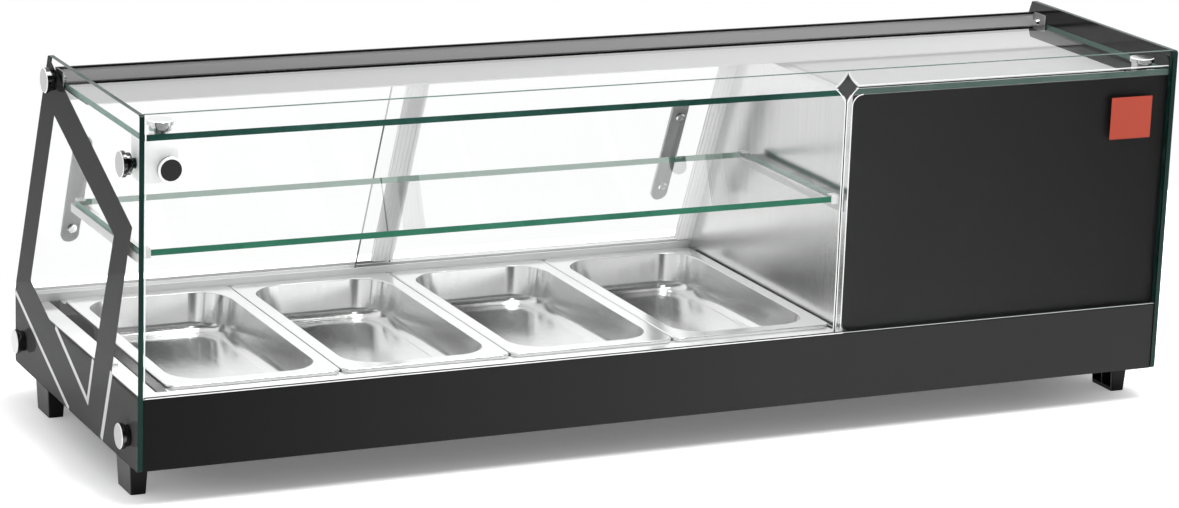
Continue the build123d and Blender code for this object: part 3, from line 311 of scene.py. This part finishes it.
def rail_painted_shading(name):
    """Rail with painted shading: its flat plate goes from dark at the left to light, and its
    upright face is painted lighter.
    """
    tree = Tree(bpy.data.materials.new(name))
    # Painted shading: the plate darkens to the left, and the upright face is lighter
    run = tree.spread(tree.split()["X"], 0, 1, -0.5, 0.5)
    slow = tree.noise(tree.place(), 7.0)
    grain = tree.noise(tree.place((6, 900, 900)), 1.0, 4.0)
    upright = tree.calc("GREATER_THAN", tree.along((0, 1, 0)), UPRIGHT_LIMIT)
    flat = tree.blend(tree.calc("MULTIPLY_ADD", slow, 0.1, run), grey(0.09), grey(0.30))
    shader = tree.add("ShaderNodeBsdfPrincipled", {
        "Base Color": tree.blend(upright, flat, grey(0.48)), "Metallic": 0.3,
        "Roughness": tree.spread(slow, 0.3, 0.4), "Specular IOR Level": 0.3,
        "Normal": tree.bump(grain, 0.02, 0.0002)})
    return tree.finish(shader.outputs[0])


def pressed_steel(name):
    """Satin pan steel with painted shade: its floor goes from a dark back left corner to a light
    front.
    """
    tree = Tree(bpy.data.materials.new(name))
    place = tree.split()
    from_start = tree.calc("SUBTRACT", place["X"], PAN_START)
    across = tree.calc("FRACT", tree.calc("DIVIDE", from_start, PAN_PITCH))
    leftward = tree.spread(across, 1.0, 0.25, 0.35, 0.75, smooth=True)
    inward = tree.spread(place["Y"], 0, 1, PAN_FRONT, PAN_BACK, smooth=True)
    level = tree.spread(tree.along((0, 0, 1)), 0, 1, 0.35, 0.80)
    low = tree.calc("LESS_THAN", place["Z"], PAN_LOW)
    on_floor = tree.calc("MULTIPLY", level, low)
    # Painted shade: the pan floors darken towards their back left corners
    painted_shade = tree.calc("MULTIPLY", on_floor, tree.calc("MULTIPLY", inward, leftward))
    grain = tree.noise(tree.place((160, 6, 40)), 1.0)
    light = tree.blend(tree.spread(grain, 0, 1), grey(0.95), grey(0.99))
    shader = tree.add("ShaderNodeBsdfPrincipled", {
        "Base Color": tree.blend(painted_shade, light, grey(0.14)), "Metallic": 0.88,
        "Roughness": tree.spread(grain, 0.14, 0.20),
        "Normal": tree.bump(grain, 0.004, 0.0002)})
    return tree.finish(shader.outputs[0])


def moulded_leg(name):
    """Black moulded leg with a fine pebble, and painted light that makes its flanks greyer."""
    tree = Tree(bpy.data.materials.new(name))
    fine = tree.noise(tree.place(), 2400.0, 2.0)
    slow = tree.noise(tree.place(), 30.0)
    # Painted light: the faces turned sideways are greyer
    flank = tree.spread(tree.along((1, 0, 0)), 0, 1, 0.6, 0.9)
    black = tree.blend(tree.spread(slow, 0, 1), grey(0.004), grey(0.008))
    shader = tree.add("ShaderNodeBsdfPrincipled", {
        "Base Color": tree.blend(flank, black, grey(0.13)),
        "Roughness": tree.spread(slow, 0.4, 0.5), "Specular IOR Level": 0.2,
        "Normal": tree.bump(fine, 0.04, 0.0001)})
    return tree.finish(shader.outputs[0])


# Sheet metal and metal fittings
steel_x = metal("steel_brushed_x", grey(0.95), grey(0.99), rough=(0.10, 0.16),
                grain=(6, 300, 300), strength=0.008, metallic=0.55)
steel_z = metal("steel_brushed_z", grey(0.64), grey(0.70), rough=(0.20, 0.26),
                grain=(500, 500, 6), strength=0.015)
roof_metal = metal("roof_brushed", grey(0.38), grey(0.45), rough=(0.28, 0.36),
                   grain=(220, 6, 220), strength=0.02)
zinc = metal("zinc_sheet", grey(0.32), grey(0.46), rough=(0.35, 0.5),
             grain=(40, 40, 40), strength=0.05)
chrome = metal("chrome", grey(0.82), grey(0.92), rough=(0.04, 0.10),
               grain=(90, 90, 90), strength=0.02)
fin_metal = metal("fin_aluminium", grey(0.56), grey(0.74), rough=(0.3, 0.45),
                  grain=(300, 300, 8), strength=0.1)
copper = metal("copper_tube", (0.55, 0.27, 0.17), (0.78, 0.42, 0.28), rough=(0.2, 0.4),
               grain=(60, 60, 60), strength=0.05)
pan_steel = pressed_steel("pan_steel")
rail_coat = rail_painted_shading("rear_rail_painted_shading")
bracket_finish = coat("bracket_finish", grey(0.93), grey(0.98), rough=(0.12, 0.2),
                      pebble=1200.0, strength=0.01)
support_finish = coat("support_finish", grey(0.58), grey(0.66), rough=(0.25, 0.35),
                      pebble=1200.0, strength=0.02)

# Glass fixings, with painted reflections: the front one has a dark middle inside a bright ring,
# the ring a painted highlight
FRONT_PUCK_X = 28.0
FRONT_PUCK_Z = 291.0
FRONT_PUCK_INNER = 0.0103
side_puck_metal = turned_metal("side_puck_metal", (1, 0, 0),
                               face=grey(0.54), bevel=grey(0.97), wall=grey(0.10))
front_puck_metal = turned_metal("front_puck_metal", (0, 1, 0),
                                face=grey(0.08), bevel=grey(0.97), wall=grey(0.35),
                                middle=tuple(at(FRONT_PUCK_X, 0.0, FRONT_PUCK_Z)),
                                inner=FRONT_PUCK_INNER)
top_puck_metal = turned_metal("top_puck_metal", (0, 0, 1),
                              face=grey(0.92), bevel=grey(0.97), wall=grey(0.75))

# Paint
black_coat = coat("black_powder_coat", grey(0.006), grey(0.009), rough=(0.4, 0.5), specular=0.15)
# Painted shading: the fascia darkens to the left and the housing's panel darkens to the right
fascia_painted_shading = graded("fascia_painted_shading", "X", -0.56, 0.2, grey(0.001), grey(0.026),
                     rough=(0.4, 0.5), specular=0.12)
panel_painted_shading = graded("housing_front_painted_shading", "X", 0.18, 0.56, grey(0.018), grey(0.006),
                    rough=(0.42, 0.5), specular=0.2)
shell_paint = coat("compressor_paint", grey(0.008), grey(0.014), rough=(0.2, 0.3),
                   pebble=900.0, strength=0.05)
red_enamel = coat("red_enamel", (0.365, 0.058, 0.036), (0.405, 0.068, 0.043), rough=(0.4, 0.5),
                  specular=0.1)

# Plastics, foam and rubber
switch_plastic = coat("switch_plastic", grey(0.012), grey(0.020), rough=(0.3, 0.45),
                      pebble=2400.0, strength=0.08)
button_plastic = coat("button_plastic", grey(0.05), grey(0.08), rough=(0.3, 0.4),
                      pebble=2400.0, strength=0.08)
handle_plastic = coat("handle_plastic", grey(0.52), grey(0.60), rough=(0.3, 0.42),
                      pebble=2400.0, strength=0.06)
track_plastic = coat("track_plastic", grey(0.90), grey(0.95), rough=(0.35, 0.5),
                     pebble=2400.0, strength=0.03)
clip_plastic = coat("clip_plastic", grey(0.62), grey(0.75), rough=(0.15, 0.25),
                    pebble=1800.0, strength=0.03)
rocker_plastic = coat("rocker_plastic", (0.015, 0.16, 0.05), (0.02, 0.22, 0.07),
                      rough=(0.15, 0.25))
leg_plastic = moulded_leg("leg_plastic")
profile_plastic = milky_plastic("profile_plastic", grey(0.94), grey(0.98), through=0.85)
foam = coat("rigid_foam", (0.55, 0.50, 0.33), (0.72, 0.68, 0.50), rough=(0.8, 0.95),
            pebble=500.0, strength=0.6)
rubber = coat("rubber", grey(0.015), grey(0.03), rough=(0.7, 0.85), pebble=900.0, strength=0.2)


def ink(name, dark, light, specular=0.5):
    """A flat print on glass."""
    return coat(name, grey(dark), grey(light), rough=(0.3, 0.4), pebble=900.0, strength=0.02,
                specular=specular)


# Prints on the glass
# Painted shading: the black figure on the left glass is lighter towards the bottom
print_black = graded("glass_print_painted_shading", "Z", 0.36, 0.04, grey(0.022), grey(0.064),
                     rough=(0.4, 0.5), specular=0.0)
print_silver = ink("silver_print", 0.62, 0.70)
print_white = ink("white_print", 0.88, 0.94)
print_grey = ink("star_print", 0.045, 0.060, specular=0.2)
print_line = ink("black_line_print", 0.004, 0.007, specular=0.1)

# Glass, with a dark and a light tone for each kind of edge: the green is the glass's own, and
# the darker or lighter tones the edges get by where they lie are painted shade and light
DEEP = ((0.003, 0.018, 0.014), (0.007, 0.034, 0.026))
DARK = ((0.008, 0.042, 0.031), (0.018, 0.075, 0.057))
INKY = (grey(0.002), grey(0.004))
MIST = ((0.07, 0.11, 0.095), (0.10, 0.145, 0.125))
GREEN = ((0.022, 0.125, 0.076), (0.036, 0.175, 0.110))
TEAL = ((0.14, 0.25, 0.21), (0.18, 0.30, 0.26))
SMOKE = (grey(0.10), grey(0.18))
glass_left = pane("glass_left_side", (1, 0, 0), mirror=0.3, power=5.5, level=0.0,
                  edge_front=DEEP, edge_side=DEEP)
glass_front = pane("glass_front", (0, 1, 0), mirror=0.9, power=5.5, level=0.0,
                   edge_front=DARK, edge_side=DEEP)
glass_top = pane("glass_top", (0, 0, 1), mirror=0.8, power=2.5, level=0.035,
                 edge_front=DARK, edge_side=TEAL, edge_back=INKY, edge_end=MIST)
glass_shelf = pane("glass_shelf", (0, 0, 1), mirror=0.6, power=2.2, level=0.03,
                   edge_front=GREEN, edge_side=TEAL)
glass_door = pane("glass_door", DOOR_AXIS, mirror=0.9, power=5.0, level=0.02,
                  edge_front=SMOKE, edge_side=SMOKE)
glass_right = dark_pane("glass_right_side", DEEP)

LOOKS = {
    steel_x: ["deck", "pan_rails"],
    rail_coat: ["rear_rail"],
    support_finish: ["shelf_bracket_left", "shelf_bracket_right"],
    steel_z: ["partition", "well_liner"],
    pan_steel: ["pan_1", "pan_2", "pan_3", "pan_4"],
    roof_metal: ["housing_cover"],
    zinc: ["fan_shroud"],
    side_puck_metal: ["side_pucks"],
    front_puck_metal: ["front_puck"],
    top_puck_metal: ["top_pucks"],
    chrome: ["puck_bolts", "left_handle_screws", "right_handle_screws", "rear_panel_screws"],
    bracket_finish: ["corner_bracket_left", "corner_bracket_right"],
    fin_metal: ["condenser"],
    copper: ["evaporator_coil", "refrigerant_pipes"],
    black_coat: ["base_tray", "rear_panel"],
    fascia_painted_shading: ["front_fascia"],
    panel_painted_shading: ["housing_front"],
    leg_plastic: ["leg_front_left", "leg_front_right", "leg_back_left", "leg_back_right",
                  "drain_plug", "cord_gland", "fan_rotor"],
    switch_plastic: ["power_switch", "temperature_control"],
    button_plastic: ["button_up", "button_down"],
    handle_plastic: ["left_door_handle", "right_door_handle"],
    track_plastic: ["door_track_bottom", "door_track_top"],
    profile_plastic: ["left_door_profile", "right_door_profile"],
    clip_plastic: ["shelf_clips"],
    rocker_plastic: ["power_rocker"],
    foam: ["insulation"],
    rubber: ["compressor_grommets"],
    shell_paint: ["compressor", "fan_motor"],
    red_enamel: ["badge"],
    glass_left: ["left_side_glass"],
    glass_right: ["right_side_glass"],
    glass_front: ["front_glass"],
    glass_top: ["top_glass"],
    glass_shelf: ["shelf_glass"],
    glass_door: ["left_door_panel", "right_door_panel"],
}


def dress(piece, material):
    """Gives a piece one material in every slot."""
    slots = piece.data.materials
    if not len(slots):
        slots.append(material)
    for index in range(len(slots)):
        slots[index] = material


dressed = set()
for material, names in LOOKS.items():
    for name in names:
        dress(NODES[name], material)
        dressed.add(name)
bare = sorted(set(NODES) - dressed)
if bare:
    raise RuntimeError(f"no look for {bare}")

# Prints on the glass: thin layers, each a flat figure drawn in a plane and given a thickness


# The least cosine that a line's corner is drawn out by, so that a sharp one has a short point
MITRE_LIMIT = 0.3


def side_point(depth, height, x):
    """A point of a figure seen from the left, in a plane x in from the left end."""
    return at(x, depth, height)


def front_point(across, height, y):
    """A point of a figure seen from the front, in a plane y behind the front."""
    return at(across, y, height)


def layer(name, loops, point, low, high, material, slot):
    """A thin layer with the outline of the first loop and the later loops as holes."""
    flat = [[Vector((u, v, 0)) for u, v in loop] for loop in loops]
    corners = [corner for loop in loops for corner in loop]
    count = len(corners)
    mesh = bpy.data.meshes.new(name)
    work = bmesh.new()
    points = [work.verts.new(point(u, v, depth)) for depth in (low, high) for u, v in corners]
    for triangle in geometry.tessellate_polygon(flat):
        work.faces.new([points[index] for index in triangle])
        work.faces.new([points[index + count] for index in reversed(triangle)])
    start = 0
    for loop in loops:
        size = len(loop)
        for step in range(size):
            one, two = start + step, start + (step + 1) % size
            work.faces.new([points[one], points[two], points[two + count], points[one + count]])
        start += size
    bmesh.ops.recalc_face_normals(work, faces=work.faces)
    work.to_mesh(mesh)
    work.free()
    mesh.materials.append(material)
    piece = bpy.data.objects.new(name, mesh)
    bpy.context.scene.collection.objects.link(piece)
    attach(piece, "case")


def line_loop(points, width):
    """The outline of a line of even width through the points, with its corners mitred."""
    path = [Vector(point) for point in points]
    runs = [(second - first).normalized() for first, second in zip(path, path[1:])]
    left, right = [], []
    for index, corner in enumerate(path):
        before = runs[max(index - 1, 0)]
        after = runs[min(index, len(runs) - 1)]
        along = (before + after).normalized()
        normal = Vector((-along.y, along.x))
        reach = width / 2 / max(normal.dot(Vector((-after.y, after.x))), MITRE_LIMIT)
        left.append(tuple(corner + normal * reach))
        right.append(tuple(corner - normal * reach))
    return left + right[::-1]


def front_lines(lines, deep):
    """One layer on the front glass for each line, which has its points, width and print."""
    for name, (points, width, material) in lines.items():
        slot = "black_plastic" if material is print_line else "clip_plastic"
        layer(name, [line_loop(points, width)], front_point, *deep, material, slot)


# The black figure and the silver lines on the left glass
PRINT_DEEP = (0.24, 0.40)
PRINT_NEAR = (0.10, 0.16)
PRINT_LOW = 71.0
PRINT_INSET = 0.4
PRINT_BACK = BODY_DEEP - PRINT_INSET
WINDOW = [(261.0, 286.0), (73.8, 211.4), (133.9, PRINT_LOW), (267.9, PRINT_LOW), (341.0, 98.6)]
FIGURE = [(TOP_DEEP, BODY_HIGH - PRINT_INSET), (PRINT_BACK, 76.5), (PRINT_BACK, PRINT_INSET),
          (PRINT_INSET, PRINT_INSET), (PRINT_INSET, PRINT_LOW), (81.5, PRINT_LOW),
          (33.0, 203.0), (19.9, 232.0), (236.6, 322.5)]
SILVER_LINES = {
    "silver_line_back": ([(392.0, 73.0), (213.0, 1.0)], 5.2),
    "silver_line_middle": ([(257.0, 73.0), (153.0, 26.0), (136.0, 73.0)], 5.8),
    "silver_line_front": ([(79.5, 76.0), (109.5, 1.0)], 7.4),
}

layer("side_print", [FIGURE, WINDOW], side_point, *PRINT_DEEP, print_black, "dark_glass")
for name, (points, width) in SILVER_LINES.items():
    layer(name, [line_loop(points, width)], side_point, *PRINT_NEAR, print_silver, "chrome")

# The mark on the front glass: a four-pointed star with a thin line down to the base
STAR_X = 739.6
STAR_Z = 324.2
STAR_HALF_WIDE = 12.3
STAR_HALF_HIGH = 14.6
STAR_POWER = 2.5
STAR_LOW = 70.8
STAR_OVERLAP = 2.0
FRONT_DEEP = (6.66, 6.74)
FRONT_NEAR = (6.54, 6.62)
CURVE_STEPS = 8
QUARTER = [math.pi / 2 * step / CURVE_STEPS for step in range(CURVE_STEPS + 1)]


def star_side(sign_x, sign_z, grow=0.0):
    """One concave side of the star, from its upper or lower point to its left or right one."""
    return [(STAR_X + sign_x * (grow + STAR_HALF_WIDE * math.sin(turn) ** STAR_POWER),
             STAR_Z + sign_z * (grow + STAR_HALF_HIGH * math.cos(turn) ** STAR_POWER))
            for turn in QUARTER]


def star_outline():
    """The four sides of the star, one after another."""
    outline = []
    for sign_x, sign_z in ((1, 1), (1, -1), (-1, -1), (-1, 1)):
        side = star_side(sign_x, sign_z)
        outline += (side if sign_x * sign_z > 0 else side[::-1])[:-1]
    return outline


layer("star_print", [star_outline()], front_point, *FRONT_NEAR, print_grey, "black_plastic")

# Black lines from the star down and to the right, white lines beside them, and one that follows
# the rounded upper left corner of the housing's panel
LINE_WIDTH = 1.3
WHITE_WIDTH = 1.1
BESIDE = 0.5 * (LINE_WIDTH + WHITE_WIDTH)
TOP_LINE_Z = STAR_Z - 1.0
GLASS_END = 1119.0
PANEL_LEFT = 747.0
PANEL_HIGH = 315.4
PANEL_CORNER = 12.0
PANEL_LINE_X = PANEL_LEFT - WHITE_WIDTH / 2
PANEL_LINE_Z = PANEL_HIGH + WHITE_WIDTH / 2
panel_corner = [(PANEL_LINE_X + PANEL_CORNER * (1 - math.cos(turn)),
                 PANEL_LINE_Z - PANEL_CORNER * (1 - math.sin(turn))) for turn in QUARTER]
FRONT_LINES = {
    "star_line": (
        [(STAR_X, STAR_LOW), (STAR_X, STAR_Z - STAR_HALF_HIGH + STAR_OVERLAP)],
        LINE_WIDTH, print_line),
    "top_line": (
        [(STAR_X + STAR_HALF_WIDE, TOP_LINE_Z), (GLASS_END, TOP_LINE_Z)], LINE_WIDTH, print_line),
    "white_line_left": (
        [(STAR_X - BESIDE, STAR_LOW)] + star_side(-1, -1, BESIDE)[:-1], WHITE_WIDTH, print_white),
    "white_line_right": (
        [(STAR_X + BESIDE, STAR_LOW)] + star_side(1, -1, BESIDE)[:-1], WHITE_WIDTH, print_white),
    "white_line_top_left": (star_side(-1, 1, BESIDE), WHITE_WIDTH, print_white),
    "white_line_top_right": (
        star_side(1, 1, BESIDE) + [(GLASS_END, STAR_Z + BESIDE)], WHITE_WIDTH, print_white),
    "white_line_panel": ([(PANEL_LINE_X, STAR_LOW)] + panel_corner, WHITE_WIDTH, print_white),
}
front_lines(FRONT_LINES, FRONT_DEEP)

# Painted highlights on the ground edges of the front glass, drawn as white and silver lines, and
# the dark seat under it
FACE_DEEP = (1.34, 1.44)
SEAM_START = 6.0
SEAM_WIDTH = 1.0
ARRIS_X = 6.6
ARRIS_TOP = 341.5
ARRIS_WIDTH = 1.4
ARRIS_LOW = 71.0
END_LOW = 71.2
END_WIDTH = 0.5
SEAT_LOW = 72.2
PAINTED_HIGHLIGHTS_AND_SEAT = {
    "painted_highlight_left": ([(ARRIS_X, STAR_LOW), (ARRIS_X, ARRIS_TOP)], ARRIS_WIDTH, print_white),
    "painted_highlight_low": ([(SEAM_START, ARRIS_LOW), (PANEL_LEFT, ARRIS_LOW)], SEAM_WIDTH, print_white),
    "painted_highlight_end": ([(PANEL_LEFT, END_LOW), (GLASS_END, END_LOW)], END_WIDTH, print_silver),
    "glass_seat": ([(SEAM_START, SEAT_LOW), (GLASS_END, SEAT_LOW)], SEAM_WIDTH, print_line),
}
front_lines(PAINTED_HIGHLIGHTS_AND_SEAT, FACE_DEEP)

# A dark edge trim on the rear rail's upstand
TRIM_FRONT = 271.8
TRIM_BACK = 275.0
TRIM_LOW = 329.2
TRIM_HIGH = 331.2
TRIM_RUN = (5.6, 1119.4)
TRIM_LOOP = [(TRIM_FRONT, TRIM_LOW), (TRIM_BACK, TRIM_LOW),
             (TRIM_BACK, TRIM_HIGH), (TRIM_FRONT, TRIM_HIGH)]
layer("rail_trim", [TRIM_LOOP], side_point, *TRIM_RUN, print_line, "black_plastic")

# Stage

# The floor ends behind the case. Seen directly it glows more the farther it lies from the middle,
# so that it runs into the white backdrop, and in mirrors it is darker far out in front
FLOOR_HALF = 12.0
FLOOR_NEAR = 0.33
FLOOR_BACK = 0.62
FLOOR_STRETCH = (0.72, 1, 1)
FLOOR_GLOW = (0.15, 0.9)
FLOOR_TONE = 0.95
FLOOR_PLAIN = 0.97
MIRROR_RUN = (-1.3, -0.7)
MIRROR_TONES = (0.30, 0.97)

# The world: its light, and what mirrors see of its front half, by height and by bearing
SKY_LIGHT = 0.68
FRONT_HALF = (-0.35, 0.0)
CEILING = (0.82, 0.95)
BOX_TOP = (0.06, 0.28)
BOX_LIGHT = 1.15
ROOM_LIGHT = 0.06
GAP_BEARING = 0.05
GAP_HALF = (0.14, 0.32)
LEAST_AHEAD = 0.05


def add_floor():
    """A plain pale floor."""
    mesh = bpy.data.meshes.new("floor")
    corners = [(-FLOOR_HALF, -FLOOR_HALF, 0), (FLOOR_HALF, -FLOOR_HALF, 0),
               (FLOOR_HALF, FLOOR_BACK, 0), (-FLOOR_HALF, FLOOR_BACK, 0)]
    mesh.from_pydata(corners, [], [(0, 1, 2, 3)])
    floor = bpy.data.objects.new("floor", mesh)
    bpy.context.scene.collection.objects.link(floor)
    tree = Tree(bpy.data.materials.new("floor"))
    path = tree.add("ShaderNodeLightPath").outputs
    plain = tree.add("ShaderNodeBsdfDiffuse", {"Color": (*grey(FLOOR_PLAIN), 1)})
    reach = tree.vector("LENGTH", tree.place(FLOOR_STRETCH))["Value"]
    fade = tree.spread(reach, *FLOOR_GLOW, FLOOR_NEAR, FLOOR_BACK, smooth=True)
    glow = tree.add("ShaderNodeEmission", {"Color": WHITE, "Strength": fade})
    sighted = tree.add("ShaderNodeBsdfDiffuse", {"Color": (*grey(FLOOR_TONE), 1)})
    lifted = tree.add("ShaderNodeAddShader", {0: sighted.outputs[0], 1: glow.outputs[0]})
    level = tree.spread(tree.split()["Y"], *MIRROR_TONES, *MIRROR_RUN, smooth=True)
    mirrored = tree.add("ShaderNodeBsdfDiffuse", {
        "Color": tree.blend(level, grey(0.0), grey(1.0))})
    seen = tree.mix(path["Is Camera Ray"], plain.outputs[0], lifted.outputs[0])
    shader = tree.mix(path["Is Glossy Ray"], seen, mirrored.outputs[0])
    mesh.materials.append(tree.finish(shader))


def add_world():
    """A plain white room.

    In mirrors its front half is dark, but for a low soft box with a gap in it and the ceiling.
    """
    world = bpy.data.worlds.new("studio")
    bpy.context.scene.world = world
    tree = Tree(world, "ShaderNodeOutputWorld")
    path = tree.add("ShaderNodeLightPath").outputs
    toward = tree.add("ShaderNodeTexCoord").outputs["Generated"]
    split = tree.add("ShaderNodeSeparateXYZ", {0: toward}).outputs
    front = tree.spread(split["Y"], 1, 0, *FRONT_HALF, smooth=True)
    overhead = tree.spread(split["Z"], 0, 1, *CEILING, smooth=True)
    low = tree.spread(split["Z"], 1, 0, *BOX_TOP, smooth=True)
    ahead = tree.calc("MAXIMUM", tree.calc("MULTIPLY", split["Y"], -1.0), LEAST_AHEAD)
    bearing = tree.calc("DIVIDE", split["X"], ahead)
    off_gap = tree.calc("ABSOLUTE", tree.calc("SUBTRACT", bearing, GAP_BEARING))
    beside = tree.spread(off_gap, 0, 1, *GAP_HALF, smooth=True)
    box = tree.calc("MULTIPLY_ADD", tree.calc("MULTIPLY", low, beside), BOX_LIGHT, ROOM_LIGHT)
    studio = tree.calc("MULTIPLY", tree.calc("MAXIMUM", box, overhead), front)
    strength = tree.calc("MAXIMUM", studio, tree.calc("SUBTRACT", 1.0, front))
    soft, sight, mirror = (
        tree.add("ShaderNodeBackground", {"Color": WHITE, "Strength": light}).outputs[0]
        for light in (SKY_LIGHT, 1.0, strength))
    lit = tree.mix(path["Is Glossy Ray"], soft, mirror)
    tree.finish(tree.mix(path["Is Camera Ray"], lit, sight))


def area_lamp(name, place, target, size, power):
    """A square lamp turned to a target."""
    lamp = bpy.data.lights.new(name, "AREA")
    lamp.shape = "SQUARE"
    lamp.size = size
    lamp.energy = power
    item = bpy.data.objects.new(name, lamp)
    bpy.context.scene.collection.objects.link(item)
    item.location = place
    item.rotation_mode = "QUATERNION"
    item.rotation_quaternion = (Vector(target) - Vector(place)).to_track_quat("-Z", "Y")


add_floor()
add_world()
area_lamp("overhead", place=(0.3, -0.7, 3.0), target=(0, 0, 0), size=1.6, power=108.0)

# The camera as fitted to the picture: lens in millimetres, place in metres, turn in degrees
CAMERA_SENSOR = 36.0
CAMERA_LENS = 115.89
CAMERA_SHIFT = (-0.00764, 0.00684)
CAMERA_PLACE = (-1.6396, -3.4183, 1.1426)
CAMERA_TURN = (75.2767, -2.0702, -25.0661)
camera_data = bpy.data.cameras.new("camera")
camera_data.sensor_width = CAMERA_SENSOR
camera_data.lens = CAMERA_LENS
camera_data.shift_x, camera_data.shift_y = CAMERA_SHIFT
camera = bpy.data.objects.new("camera", camera_data)
bpy.context.scene.collection.objects.link(camera)
camera.rotation_euler = [math.radians(angle) for angle in CAMERA_TURN]
camera.location = CAMERA_PLACE
bpy.context.scene.camera = camera

bpy.context.scene.view_settings.view_transform = "Standard"
